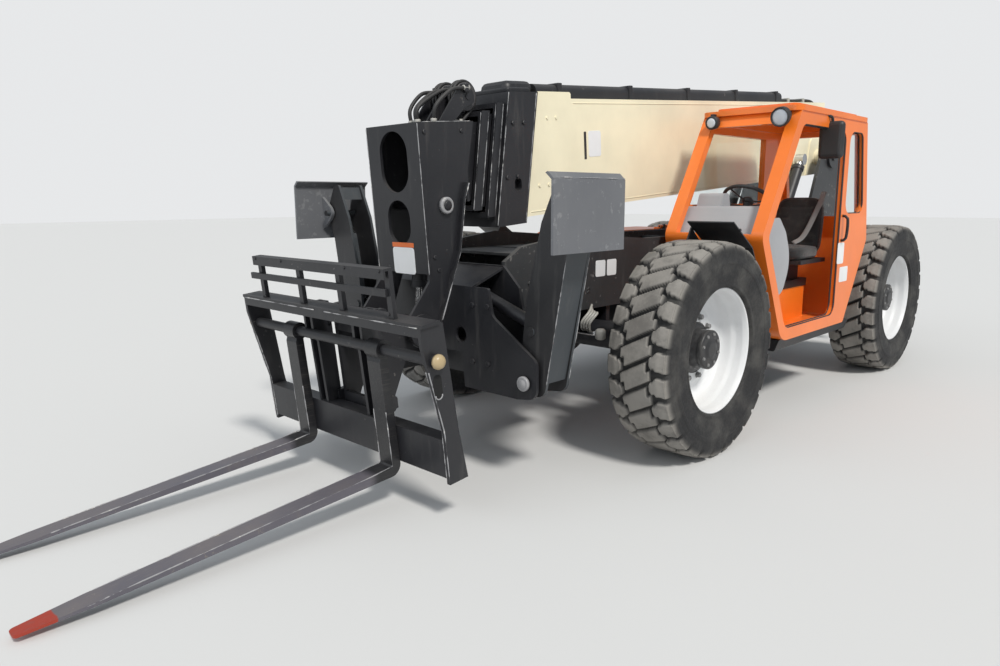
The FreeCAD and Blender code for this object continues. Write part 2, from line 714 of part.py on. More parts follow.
def dash_console():
    """Console across the cab's front, the hump on it, and the curved leg panel beside the door."""
    side = [(2190, FLOOR_Z), (2320, FLOOR_Z), (2545, 1290, 20), (2510, 1350, 30), (2400, 1500, 40),
            (2230, 1500, 40), (2150, 1330, 60)]
    hump = [(2240, 1480), (2390, 1480), (2350, 1590, 30), (2270, 1590, 40)]
    panel = [(2040, 870, 120), (2290, 855), (2430, 1100), (2500, 1290), (2440, 1400), (2150, 1420, 60),
             (2035, 1316, 120), (1925, 1110, 250)]
    edge = 1060
    solids = [across([(cab_x(p[0]),) + tuple(p[1:]) for p in outline], y0, y1)
              for outline, y0, y1 in ((side, CAB_INNER + CAB_WALL, edge), (hump, 560, 750), (panel, edge, edge + 20))]
    return join(*solids)


def steering_wheel():
    count = 16
    tilt = 35
    ring = []
    for radius in (190, 162):
        ring.append([V(radius * math.cos(2 * math.pi * i / count), radius * math.sin(2 * math.pi * i / count), 0)
                     for i in range(count)])
    plates = [Part.Face(Part.makePolygon(p + [p[0]])).extrude(V(0, 0, 24)) for p in ring]
    wheel = plates[0].cut(plates[1])
    for angle in (0, 120, 240):
        spoke = block(0, 170, -14, 14, 4, 18)
        spoke.rotate(V(0, 0, 0), V(0, 0, 1), angle)
        wheel = wheel.fuse(spoke)
    wheel = wheel.fuse(rod(V(0, 0, -4), V(0, 0, 30), 40)).fuse(rod(V(0, 0, -330), V(0, 0, 0), 28))
    wheel = wheel.removeSplitter()
    wheel.rotate(V(0, 0, 0), V(0, 1, 0), -tilt)
    wheel.translate(V(cab_x(2080), SEAT_Y, 1530))
    return wheel.cut(dash_console())


SEAT_X = cab_x(1400)


def seat_base():
    return join(block(SEAT_X - 230, SEAT_X + 190, SEAT_Y - 200, SEAT_Y + 100, FLOOR_Z, FLOOR_Z + 60),
                block(SEAT_X - 170, SEAT_X + 130, SEAT_Y - 150, SEAT_Y + 50, FLOOR_Z + 60, FLOOR_Z + 200),
                block(SEAT_X - 240, SEAT_X + 230, SEAT_Y - 235, SEAT_Y + 235, FLOOR_Z + 200, FLOOR_Z + 230))


def seat_cushion():
    z = FLOOR_Z + 230 + SLIDE_GAP
    plan = [(SEAT_X - 170, SEAT_Y - 240, 50), (SEAT_X + 270, SEAT_Y - 230, 80), (SEAT_X + 270, SEAT_Y + 230, 80),
            (SEAT_X - 170, SEAT_Y + 240, 50)]
    return upward(plan, z, z + 110)


def seat_back():
    z = FLOOR_Z + 230 + SLIDE_GAP
    front = SEAT_X - 170 - SLIDE_GAP
    side = [(front, z), (front, z + 110, 20), (SEAT_X - 230, z + 490, 45),
            (SEAT_X - 320, z + 480, 45), (SEAT_X - 270, z, 30)]
    return across(side, SEAT_Y - 195, SEAT_Y + 195)


def cab_mirror():
    x = cab_x(1625)
    y = CAB_OUTER + 53
    head = upward([(x - 15, y - 45, 8), (x + 15, y - 45, 8), (x + 15, y + 45, 8), (x - 15, y + 45, 8)], 1840, 2070)
    arm = join(rod(V(x, y, 2060), V(x, y, 2115), 10), block(x - 15, x + 15, CAB_OUTER, y + 10, 2095, 2120))
    return join(head, arm)


def work_lamp():
    x, y, z = cab_x(2195), CAB_OUTER - 90, CAB_TOP - 35
    lamp = join(rod(V(x, y, z), V(x + 35, y, z - 5), 48), rod(V(x + 35, y, z - 5), V(x + 75, y, z - 12), 62))
    return join(lamp, block(x - 70, x + 10, y - 20, y + 20, z + 20, CAB_TOP)).cut(
        across(cab_outline(), CAB_INNER, CAB_OUTER))


# Boom
SECTION_REARS = (BASE_REAR, 300, 350, 400)
SECTION_FRONTS = (BASE_FRONT, BASE_FRONT + 330, BASE_FRONT + 430, BASE_FRONT + 595)
COLLAR_LENGTH = 250
RIB_T = 65


def section_size(index):
    """Half width, bottom and top of a boom section; 0 is the base."""
    return (BASE_HALF_W - index * SECTION_STEP_W, BASE_BOTTOM + index * SECTION_STEP_BOTTOM,
            BASE_TOP - index * SECTION_STEP_TOP)


def raked(rear, front, bottom, top, half_w):
    """A box beam whose front end slants: the bottom reaches further."""
    lean = (top - bottom) * MOUTH_RAKE
    return across([(rear, bottom), (front + lean, bottom), (front, top), (rear, top)], -half_w, half_w)


def section_tube(index):
    half_w, bottom, top = section_size(index)
    rear = SECTION_REARS[index]
    front = SECTION_FRONTS[index]
    solid = raked(rear, front, bottom, top, half_w)
    hollow = raked(rear - 1, front + 100, bottom + BOOM_WALL, top - BOOM_WALL, half_w - BOOM_WALL)
    return solid, hollow


def wear_pads(index):
    """Pads round a section's rear end, filling the way to the next section out."""
    half_w, bottom, top = section_size(index)
    out_w, out_bottom, out_top = section_size(index - 1)
    gap = BOOM_WALL + SLIDE_GAP
    rear = SECTION_REARS[index] + 20
    ring = raked(rear, rear + 90, out_bottom + gap, out_top - gap, out_w - gap)
    keep = block(rear - 1, rear + 90, -half_w - 50, half_w + 50, -500, 1000)
    return ring.common(keep)


def rib(index):
    """Raised plate round a section's front end."""
    half_w, bottom, top = section_size(index)
    front = SECTION_FRONTS[index]
    lean = (top - bottom) * MOUTH_RAKE
    edge = 17
    points = [(front - RIB_T + lean + edge * MOUTH_RAKE, bottom - edge), (front + lean + edge * MOUTH_RAKE,
              bottom - edge), (front - edge * MOUTH_RAKE, top + edge), (front - RIB_T - edge * MOUTH_RAKE,
              top + edge)]
    return across(points, -half_w - edge, half_w + edge)


def boom_base():
    solid, hollow = section_tube(0)
    lx, lz = LIFT_EYE
    pivot = pin_y(0, 0, 80, -FRAME_IN + SLIDE_GAP, FRAME_IN - SLIDE_GAP)
    cheeks = [across([(BASE_REAR, BASE_BOTTOM), (260, BASE_BOTTOM), (160, 190, 60), (BASE_REAR, 190)],
                     side * BASE_HALF_W - 12, side * BASE_HALF_W + 12) for side in (1, -1)]
    # Bosses on both sides that the lift cylinders' upper eyes stand against
    lift_boss = pin_y(lx, lz, 75, BASE_HALF_W - 12, LIFT_SPACING / 2 - LIFT_EYE_W / 2 - SLIDE_GAP)
    body = join(cut(solid, hollow), pivot, *cheeks, *both(lift_boss))
    return on_boom(cut(body, pin_y(0, 0, BOOM_PIN_R + PIN_GAP, -FRAME_W, FRAME_W)))


LIFT_EYE_W = 80


def boom_collar():
    """Black bolted mouth of the base section."""
    half_w, bottom, top = section_size(0)
    lean = (top - bottom) * MOUTH_RAKE
    grow = 35
    solid = across([(BASE_FRONT + lean + grow * MOUTH_RAKE, bottom - grow),
                    (BASE_FRONT + lean + grow * MOUTH_RAKE + COLLAR_LENGTH, bottom - grow),
                    (BASE_FRONT - grow * MOUTH_RAKE + COLLAR_LENGTH, top + grow),
                    (BASE_FRONT - grow * MOUTH_RAKE, top + grow)], -half_w - 15, half_w + 15)
    mid_w, mid_bottom, mid_top = section_size(1)
    hole = raked(BASE_FRONT - 200, BASE_FRONT + 900, mid_bottom - SLIDE_GAP, mid_top + SLIDE_GAP,
                 mid_w + SLIDE_GAP)
    rear, front = BASE_FRONT + 180, BASE_FRONT + 240
    slots = [across([(rear, 0, 24), (front, 0, 24), (front, 75, 24), (rear, 75, 24)], side * (half_w + 16),
                    side * (mid_w - 1)) for side in (1, -1)]
    return on_boom(cut(solid, hole, *slots))


def boom_hose_cover():
    """Long hose channel on top of the base section, with a rounded top."""
    half = 130
    z0 = BASE_TOP
    profile = [(-half, z0), (half, z0), (half, z0 + 100, 45), (-half, z0 + 100, 45)]
    room = [(-half + 8, z0 - 1), (half - 8, z0 - 1), (half - 8, z0 + 92, 38), (-half + 8, z0 + 92, 38)]
    rear, front = 640, BASE_FRONT - 110
    cover = along(profile, rear, front).cut(along(room, rear + 20, front - 20))
    return on_boom(cover)


def boom_section(index):
    solid, hollow = section_tube(index)
    body = join(solid, rib(index), wear_pads(index))
    return on_boom(cut(body, hollow))


def boom_fly():
    half_w, bottom, top = section_size(3)
    rear, front = SECTION_REARS[3], SECTION_FRONTS[3]
    solid = block(rear, front, -half_w, half_w, bottom, top)
    room = block(rear - 1, front + 1, BOOM_WALL - half_w, half_w - BOOM_WALL, bottom + BOOM_WALL, top - BOOM_WALL)
    return on_boom(cut(join(solid, wear_pads(3)), room))


HEAD_REAR = HEAD_FACE - 410
HEAD_PLATE = 18
SLOTS = ((212, 330, 240), (-118, 245, 195))
SHEAVE_R = 78


def boom_head():
    """Drop head: two side plates, slotted front plate, top, rear joint plate, flanges and pivot bosses."""
    hx, hz = HEAD_PIVOT
    face = HEAD_FACE
    side = [(HEAD_REAR, HEAD_TOP), (face - 325, 76, 200), (face - 294, 20, 100), (face - 225, -297, 150),
            (hx - 110, hz - 20, 60),
            (hx - 60, hz - 100, 75), (hx + 60, hz - 100, 75), (hx + 95, hz + 60, 75), (face, -440, 40), (face, HEAD_TOP)]
    inner = HEAD_HALF_W - HEAD_PLATE
    plates = both(across(side, inner, HEAD_HALF_W))
    front = block(HEAD_FACE - HEAD_PLATE, HEAD_FACE, -inner, inner, -400, HEAD_TOP)
    top = block(SECTION_FRONTS[3], HEAD_FACE, -inner, inner, HEAD_TOP - HEAD_PLATE, HEAD_TOP)
    rear = block(SECTION_FRONTS[3], SECTION_FRONTS[3] + HEAD_PLATE, -inner, inner, section_size(3)[1], HEAD_TOP)
    parts = plates + [front, top, rear]
    for s in (1, -1):
        y0, y1 = sorted((s * (inner + 2), s * (HEAD_HALF_W + 14)))
        parts.append(pin_y(hx, hz, 88, y0, y1))
    # Flange along the rear edge of each side plate
    edge = band([(face - 319, 74), (face - 284, -10), (face - 222, -297), (hx - 108, hz - 16)], 14)
    parts += both(across(edge, inner, HEAD_HALF_W + 28))
    body = join(*parts)
    for z, height, width in SLOTS:
        r = width / 2 - 1
        body = cut(body, along([(-width / 2, z - height / 2, r), (width / 2, z - height / 2, r),
                                (width / 2, z + height / 2, r), (-width / 2, z + height / 2, r)],
                               HEAD_FACE - HEAD_PLATE - 1, HEAD_FACE + 1))
    tx, tz = TILT_TOP
    body = cut(body, pin_y(hx, hz, HEAD_PIN_R + PIN_GAP, -400, 400))
    body = join(body, pin_y(tx, tz, TILT_PIN_R, -HEAD_HALF_W - 22, HEAD_HALF_W + 22))
    # Hose guide: two sheaves between brackets on top of the head
    gx, gz = face - 484, HEAD_TOP + 143
    for y in (-70, 70):
        body = join(body, pin_y(gx, gz, SHEAVE_R, y - 28, y + 28))
    for y in (-115, 0, 115):
        body = join(body, across([(SECTION_FRONTS[3] + 20, HEAD_TOP - 15), (face - 230, HEAD_TOP - 15), (gx + 75, gz + 45, 30),
                                  (gx - 45, gz + 45, 40), (gx - 45, gz - 35, 20), (gx + 30, gz - 60)],
                                 y - 6, y + 6))
    body = join(body, pin_y(gx, gz, 20, -125, 125))
    return on_boom(body)


TILT_PIN_R = 26
TILT_EYE_W = 80


# Attachment
def coupler():
    """Quick coupler: two plates on the head pin, tilt arms behind it, hooks and a lock bar in front."""
    angle = math.radians(TILT_ARM_ANGLE + TINE_SLOPE - BOOM_PITCH)
    ax = TILT_ARM * math.cos(angle)
    az = TILT_ARM * math.sin(angle)
    reach = CARRIAGE_BACK
    side = [(-70, -70, 60), (60, -110, 60), (reach - 60, -430, 20), (reach, -430, 20), (reach, 150, 20),
            (reach - 90, 150, 20), (20, 85, 60), (-70, 70, 60)]
    plates = both(across(side, 140, 165))
    hub = pin_y(0, 0, 62, -HEAD_HALF_W + HEAD_PLATE + 5, HEAD_HALF_W - HEAD_PLATE - 5)
    parts = plates + [hub]
    parts.append(block(reach - 20, reach, -165, 165, -430, -330))
    parts.append(block(reach - 20, reach, -165, 165, 30, 150))
    parts.append(pin_y(reach - 55, 110, 26, -210, 210))
    parts.append(pin_y(reach - 55, -380, 26, -210, 210))
    for s in (1, -1):
        y0, y1 = sorted((s * (TILT_EYE_W / 2 + 5), s * (TILT_EYE_W / 2 + 27)))
        arm = across([(ax - 30, az + 42, 30), (ax - 30, az - 42, 40), (ax + 30, az - 42, 30), (40, -60), (30, 60),
                      (-30, 60)], y0, y1)
        cap0, cap1 = sorted((s * (TILT_EYE_W / 2 + 10), s * (TILT_EYE_W / 2 + 36)))
        parts += [arm, pin_y(ax, az, 30, cap0, cap1)]
    parts.append(pin_y(0, 0, HEAD_PIN_R, -HEAD_HALF_W - 26, HEAD_HALF_W + 26))
    return on_carriage(join(*parts))


CARRIAGE_BACK = 300


def carriage():
    """Fork frame: end plates, shelf, rear ribs that hook on the coupler, lower beam and fork shaft."""
    half = CARRIAGE_W / 2
    plate = 22
    end = [(SHELF_X - 135, SHELF_Z), (SHELF_X, SHELF_Z), (SHELF_X, SHELF_Z - 90, 40), (SHANK_X - TINE_T - 2, -330, 60),
           (SHANK_X - TINE_T - 2, -600), (SHANK_X - TINE_T - 120, -600), (SHANK_X - TINE_T - 90, -330, 60),
           (SHELF_X - 150, -60, 60)]
    parts = both(across(end, half - plate, half))
    parts.append(block(SHELF_X - 110, SHELF_X, -half - 12, half + 12, SHELF_Z, SHELF_Z + 16))
    parts.append(block(SHELF_X - 22, SHELF_X, -half, half, SHELF_Z - 45, SHELF_Z))
    beam = SHANK_X - TINE_T - 2
    parts.append(block(beam - 28, beam, -half, half, -570, -375))
    parts.append(block(beam - 80, beam - 20, -half, half, -400, -375))
    parts.append(pin_y(SHAFT_X, SHAFT_Z, SHAFT_R, -half - 26, half + 26))
    rib_side = [(CARRIAGE_BACK + 4, SHELF_Z), (SHELF_X - 60, SHELF_Z), (SHELF_X - 60, 60), (SHAFT_X - 20, -20),
                (beam - 10, -380), (beam - 10, -480), (CARRIAGE_BACK + 4, -480)]
    # Rear ribs: (distance from the middle, thickness)
    for y, thickness in ((185, 22), (255, 18)):
        for s in (1, -1):
            y0, y1 = sorted((s * y, s * (y + thickness)))
            parts.append(across(rib_side, y0, y1))
    for s in (1, -1):
        y0, y1 = sorted((s * 185, s * 273))
        parts.append(block(CARRIAGE_BACK + 4, CARRIAGE_BACK + 20, y0, y1, -480, SHELF_Z))
    # Hooks over the coupler's bars
    for z in (110, -380):
        for s in (1, -1):
            y0, y1 = sorted((s * 170, s * 207))
            hook = across([(CARRIAGE_BACK - 95, z - 10), (CARRIAGE_BACK + 30, z - 40), (CARRIAGE_BACK + 30, z + 60),
                           (CARRIAGE_BACK - 95, z + 60, 20)], y0, y1)
            parts.append(hook.cut(pin_y(CARRIAGE_BACK - 55, z, 26.3, -400, 400)))
    return on_carriage(join(*parts))


def load_backrest():
    half = BACKREST_W / 2
    z0 = SHELF_Z + 16
    x0 = SHELF_X - 40
    parts = [block(x0, x0 + 52, -half, half, BACKREST_TOP - 12, BACKREST_TOP),
             block(x0 + 40, x0 + 52, -half, half, BACKREST_TOP - 50, BACKREST_TOP),
             block(x0 + 24, x0 + 40, -half - 70, half - 20, 318, 352)]
    for y in (-half, -half / 3, half / 3 - 35, half - 35):
        parts.append(block(x0, x0 + 24, y, y + 35, z0, BACKREST_TOP - 6))
    return on_carriage(join(*parts))


def fork_tines():
    tines = []
    heel = 60
    eye_r = SHAFT_R + 20
    top = TINE_TOP
    end = SHANK_X + TINE_LENGTH
    shank_back = SHANK_X - TINE_T
    side = [(shank_back, top - TINE_T, heel), (end, top - TINE_TIP_T), (end, top), (SHANK_X, top, 12),
            (SHANK_X, SHAFT_Z - 60), (SHANK_X - 12, SHAFT_Z - 30), (shank_back, SHAFT_Z - 30)]
    plan = [(0, -200), (end - 260, -TINE_W / 2), (end, -34, 20), (end, 34, 20), (end - 260, TINE_W / 2),
            (0, 200)]
    for s in (1, -1):
        y = s * TINE_SPACING / 2
        body = join(across(side, y - TINE_W / 2, y + TINE_W / 2),
                    pin_y(SHAFT_X, SHAFT_Z, eye_r, y - TINE_W / 2, y + TINE_W / 2),
                    block(shank_back, SHAFT_X + 20, y - TINE_W / 2, y + TINE_W / 2, SHAFT_Z - 90, SHAFT_Z))
        trim = upward([(p[0], p[1] + y) + tuple(p[2:]) for p in plan], -2000, 2000)
        body = body.common(trim)
        tines.append(on_carriage(body.cut(pin_y(SHAFT_X, SHAFT_Z, SHAFT_R + SLIDE_GAP, y - 200, y + 200))))
    return tines


# Cylinders in place
def lift_state():
    return linkage(LIFT_BASE, boom_point(LIFT_EYE), BOOM_PIVOT, 0, BOOM_RANGE)


def tilt_points():
    base = boom_point(TILT_TOP)
    pivot = boom_point(HEAD_PIVOT)
    angle = math.radians(TILT_ARM_ANGLE - BOOM_PITCH)
    eye = (pivot[0] + TILT_ARM * math.cos(angle), pivot[1] + TILT_ARM * math.sin(angle))
    return base, eye, pivot


def tilt_state():
    base, eye, pivot = tilt_points()
    return linkage(base, eye, pivot, TILT_BACK, -TILT_DOWN)


def aim(shape, base, heading):
    moved = turned(shape, -heading, 0, 0)
    moved.translate(V(base[0], 0, base[1]))
    return moved


def lift_cylinders():
    state = lift_state()
    barrel, shaft = cylinder_pair(state, LIFT_BARREL_R, LIFT_ROD_R, LIFT_EYE_W, LIFT_PIN_R, LIFT_PIN_R + PIN_GAP)
    groups = []
    for shape in (barrel, shaft):
        placed = aim(shape, LIFT_BASE, state["rest"][1])
        placed.translate(V(0, LIFT_SPACING / 2, 0))
        groups.append(both(placed))
    return groups


def tilt_cylinder():
    state = tilt_state()
    base = tilt_points()[0]
    barrel, shaft = cylinder_pair(state, TILT_BARREL_R, TILT_ROD_R, TILT_EYE_W, 24, TILT_PIN_R + PIN_GAP)
    return aim(barrel, base, state["rest"][1]), aim(shaft, base, state["rest"][1])


# Outriggers: the left one, worked out in Y and Z seen from the front
def outrigger_turns():
    """How far the leg swings out until its pad lies flat just off the ground, and the pad's own turn."""
    reach = math.hypot(PAD_PIN[0] - OUT_PIVOT[0], PAD_PIN[1] - OUT_PIVOT[1])
    stands = math.degrees(math.atan2(PAD_PIN[0] - OUT_PIVOT[0], PAD_PIN[1] - OUT_PIVOT[1]))
    height = PAD_OFFSET + PAD_T + PAD_CLEARANCE
    lies = math.degrees(math.acos((height - OUT_PIVOT[1]) / reach))
    leg = lies - stands
    return leg, 90 - leg


PAD_CLEARANCE = 20


def outrigger_state():
    eye = (OUT_PIVOT[0], OUT_PIVOT[1] + OUT_EYE_HEIGHT)
    return linkage(OUT_CYL_BASE, eye, OUT_PIVOT, 0, -outrigger_turns()[0])


def outrigger_leg():
    py, pz = OUT_PIVOT
    qy, qz = PAD_PIN
    outer = [(py - 75, pz - 75, 70), (py + 95, pz - 75, 60), (1020, 1300), (qy + 48, qz - 20, 40),
             (qy + 40, qz + 50, 40), (1000, 1655, 15), (950, 1655, 15), (850, 1440, 60), (750, 1040, 200),
             (py - 75, pz + 60, 40)]
    x0, x1 = LEG_REAR, LEG_REAR + LEG_W
    body = join(along(outer, x0, x0 + LEG_PLATE), along(outer, x1 - LEG_PLATE, x1))
    face = along([(py + 77, pz + 5), (py + 95, pz), (1020, 1300), (1020 + 12, 1330), (1014, 1330), (1002, 1300)],
                 x0, x1)
    web = along([(930, 1560), (975, 1560), (975, 1640), (960, 1640)], x0, x1)
    body = join(body, face, web, pin_x(qy, qz, PAD_PIN_R, x0 - 55, x1 + 55))
    body = cut(body, pin_x(py, pz, OUT_PIN_R + PIN_GAP, x0 - 1, x1 + 1))
    cy, cz = py, pz + OUT_EYE_HEIGHT
    for a, b in ((x0 - 9, x0 + 6), (x1 - 6, x1 + 9)):
        body = join(body, pin_x(cy, cz, 26, a, b))
    return body


def outrigger_pad():
    qy, qz = PAD_PIN
    face_y = qy + PAD_OFFSET
    low = qz - PAD_HEIGHT * 0.46
    high = low + PAD_HEIGHT
    middle = LEG_REAR + LEG_W / 2 + 45
    x0, x1 = middle - PAD_LENGTH / 2, middle + PAD_LENGTH / 2
    plate = block(x0, x1, face_y, face_y + PAD_T, low, high - 20)
    lip = along([(face_y + PAD_T, high - 40), (face_y + PAD_T, high - 20, 14), (face_y - 22, high + 14, 10),
                 (face_y - 36, high + 6), (face_y, high - 24), (face_y, high - 40)], x0, x1)
    body = join(plate, lip)
    for a in (LEG_REAR - 28, LEG_REAR + LEG_W + 8):
        lug = along([(face_y + 1, qz - 110), (face_y + 1, qz + 110), (qy - 15, qz + 38, 30), (qy - 38, qz, 30),
                     (qy - 15, qz - 38, 30)], a, a + 20)
        body = join(body, lug)
    return cut(body, pin_x(qy, qz, PAD_PIN_R + PIN_GAP, LEG_REAR - 100, LEG_REAR + LEG_W + 100))


def outrigger_cylinder():
    state = outrigger_state()
    barrel, shaft = cylinder_pair(state, OUT_BARREL_R, OUT_ROD_R, 60, 16, OUT_CYL_PIN_R + PIN_GAP)
    placed = []
    for shape in (barrel, shaft):
        moved = shape.copy()
        moved.rotate(V(0, 0, 0), V(0, 0, 1), 90)
        moved.rotate(V(0, 0, 0), V(1, 0, 0), state["rest"][1])
        moved.translate(V(LEG_REAR + LEG_W / 2, OUT_CYL_BASE[0], OUT_CYL_BASE[1]))
        placed.append(moved)
    return placed


def at(shape, x, z):
    moved = shape.copy()
    moved.translate(V(x, 0, z))
    return moved


def left_wheel(shape):
    moved = shape.copy()
    moved.translate(V(0, HUB_Y, 0))
    return moved


def export_shift():
    tip = carriage_point((SHANK_X + TINE_LENGTH, TINE_TOP))[0]
    return -(tip - TAIL_REACH) / 2


def build():
    nodes = {
        "chassis_frame": chassis_frame(), "counterweight": counterweight(), "outrigger_beam": outrigger_beam(),
        "side_supports": side_supports(), "engine_block": engine_block(), "engine_hood": engine_hood(),
        "cab_shell": cab_shell(), "cab_roof": cab_roof(), "cab_side_glass": cab_side_glass(),
        "dash_console": dash_console(), "steering_wheel": steering_wheel(), "seat_base": seat_base(),
        "seat_cushion": seat_cushion(), "seat_back": seat_back(), "cab_mirror": cab_mirror(),
        "work_lamp": work_lamp(), "boom_base": boom_base(), "boom_collar": boom_collar(),
        "boom_hose_cover": boom_hose_cover(), "boom_mid": boom_section(1), "boom_inner": boom_section(2),
        "boom_fly": boom_fly(), "boom_head": boom_head(), "coupler": coupler(), "carriage": carriage(),
        "load_backrest": load_backrest(), "fork_tines": fork_tines()}
    nodes["lift_barrels"], nodes["lift_rods"] = lift_cylinders()
    nodes["tilt_barrel"], nodes["tilt_rod"] = tilt_cylinder()
    axles = (("front", WHEELBASE, -1), ("rear", 0, 1))
    shapes = {"knuckle": knuckle(), "rim": left_wheel(rim()), "tyre": left_wheel(tyre())}
    for name, x, steer_side in axles:
        nodes["axle_" + name] = at(axle(steer_side), x, TYRE_R)
        for kind, shape in shapes.items():
            placed = at(shape, x, TYRE_R)
            nodes[kind + "_" + name + "_left"] = placed
            nodes[kind + "_" + name + "_right"] = mirrored(placed)
    nodes["fender_left"] = at(fender(), WHEELBASE, TYRE_R)
    nodes["fender_right"] = mirrored(nodes["fender_left"])
    barrel, shaft = outrigger_cylinder()
    for kind, shape in (("leg", outrigger_leg()), ("pad", outrigger_pad()), ("barrel", barrel), ("rod", shaft)):
        nodes["outrigger_" + kind + "_left"] = shape
        nodes["outrigger_" + kind + "_right"] = mirrored(shape)
    return nodes


EXPORT_SHIFT = export_shift()
for node, made in build().items():
    shape = Part.makeCompound(made) if isinstance(made, (list, tuple)) else made
    shape = shape.copy()
    shape.translate(V(EXPORT_SHIFT, 0, 0))
    shape.exportStep("parts/" + node + ".step")
    print(node, "solids", len(shape.Solids), "valid", shape.isValid(), "litres", round(shape.Volume / 1e6, 1))
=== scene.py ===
import bmesh
import bpy
import json
import math
import numpy as np
from mathutils import Matrix, Vector
from mathutils.bvhtree import BVHTree


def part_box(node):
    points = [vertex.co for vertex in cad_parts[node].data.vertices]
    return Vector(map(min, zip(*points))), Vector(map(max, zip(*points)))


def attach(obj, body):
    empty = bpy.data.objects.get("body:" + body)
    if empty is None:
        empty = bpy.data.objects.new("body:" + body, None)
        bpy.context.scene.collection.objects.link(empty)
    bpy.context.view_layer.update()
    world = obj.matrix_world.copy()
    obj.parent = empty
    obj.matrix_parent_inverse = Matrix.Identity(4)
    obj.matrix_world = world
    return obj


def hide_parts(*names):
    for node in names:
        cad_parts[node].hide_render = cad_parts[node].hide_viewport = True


# Telehandler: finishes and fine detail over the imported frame. Metres; X forward, Y to the cab side, Z up.
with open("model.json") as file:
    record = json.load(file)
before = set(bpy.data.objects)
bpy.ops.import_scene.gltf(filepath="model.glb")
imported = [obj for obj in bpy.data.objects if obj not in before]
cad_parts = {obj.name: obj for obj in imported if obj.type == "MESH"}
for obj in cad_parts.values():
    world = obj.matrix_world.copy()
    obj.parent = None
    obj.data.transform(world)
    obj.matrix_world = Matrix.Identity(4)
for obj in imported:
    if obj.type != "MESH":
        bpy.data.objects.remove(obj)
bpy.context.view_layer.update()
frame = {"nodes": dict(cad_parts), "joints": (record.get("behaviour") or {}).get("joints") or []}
nodes = frame["nodes"]
joints = {j["name"]: j for j in frame["joints"]}

SIDES = (("left", 1), ("right", -1))

# The wheels' centres, read from the frame's own boxes, each with the side that its face looks to
WHEELS = {}
for end in ("front", "rear"):
    for which, side in SIDES:
        low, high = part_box("tyre_" + end + "_" + which)
        WHEELS[end + "_" + which] = ((low + high) / 2, side)


# Shader groups
def new_group(name, inputs, outputs):
    group = bpy.data.node_groups.new(name, "ShaderNodeTree")
    kinds = {"f": "NodeSocketFloat", "c": "NodeSocketColor", "v": "NodeSocketVector"}
    for label, kind, value in inputs:
        socket = group.interface.new_socket(label, in_out="INPUT", socket_type=kinds[kind])
        if kind == "c":
            socket.default_value = tuple(value) + (1.0,)
        else:
            socket.default_value = value
    for label, kind in outputs:
        group.interface.new_socket(label, in_out="OUTPUT", socket_type=kinds[kind])
    return group, group.nodes.new("NodeGroupInput"), group.nodes.new("NodeGroupOutput")


class Wires:
    """Short calls that add nodes to one tree and join them; each gives the new node's output."""

    def __init__(self, tree):
        self.tree = tree

    def put(self, socket, value):
        if isinstance(value, bpy.types.NodeSocket):
            self.tree.links.new(value, socket)
        elif isinstance(value, tuple) and len(value) == 3 and socket.type == "RGBA":
            socket.default_value = value + (1.0,)
        else:
            socket.default_value = value

    def node(self, kind, **settings):
        made = self.tree.nodes.new(kind)
        for key, value in settings.items():
            setattr(made, key, value)
        return made

    def math(self, operation, a, b=0.0, clamp=False):
        made = self.node("ShaderNodeMath", operation=operation, use_clamp=clamp)
        self.put(made.inputs[0], a)
        self.put(made.inputs[1], b)
        return made.outputs[0]

    def add(self, a, b, clamp=False):
        return self.math("ADD", a, b, clamp)

    def times(self, a, b, clamp=False):
        return self.math("MULTIPLY", a, b, clamp)

    def place(self):
        return self.node("ShaderNodeTexCoord").outputs["Object"]

    def parts(self, vector):
        made = self.node("ShaderNodeSeparateXYZ")
        self.put(made.inputs[0], vector)
        return made.outputs

    def mix(self, factor, a, b, blend="MIX"):
        made = self.node("ShaderNodeMix", data_type="RGBA", blend_type=blend)
        self.put(made.inputs[0], factor)
        self.put(made.inputs[6], a)
        self.put(made.inputs[7], b)
        return made.outputs[2]

    def ramp(self, value, low, high, out_low=0.0, out_high=1.0):
        made = self.node("ShaderNodeMapRange", interpolation_type="SMOOTHSTEP")
        self.put(made.inputs[0], value)
        for place, number in zip((1, 2, 3, 4), (low, high, out_low, out_high)):
            self.put(made.inputs[place], number)
        return made.outputs[0]

    def noise(self, vector, scale, detail=3.0, rough=0.55):
        made = self.node("ShaderNodeTexNoise")
        self.put(made.inputs["Vector"], vector)
        self.put(made.inputs["Scale"], scale)
        self.put(made.inputs["Detail"], detail)
        self.put(made.inputs["Roughness"], rough)
        return made.outputs["Fac"]

    def stretched(self, vector, scale):
        made = self.node("ShaderNodeMapping")
        self.put(made.inputs["Vector"], vector)
        made.inputs["Scale"].default_value = scale
        return made.outputs[0]


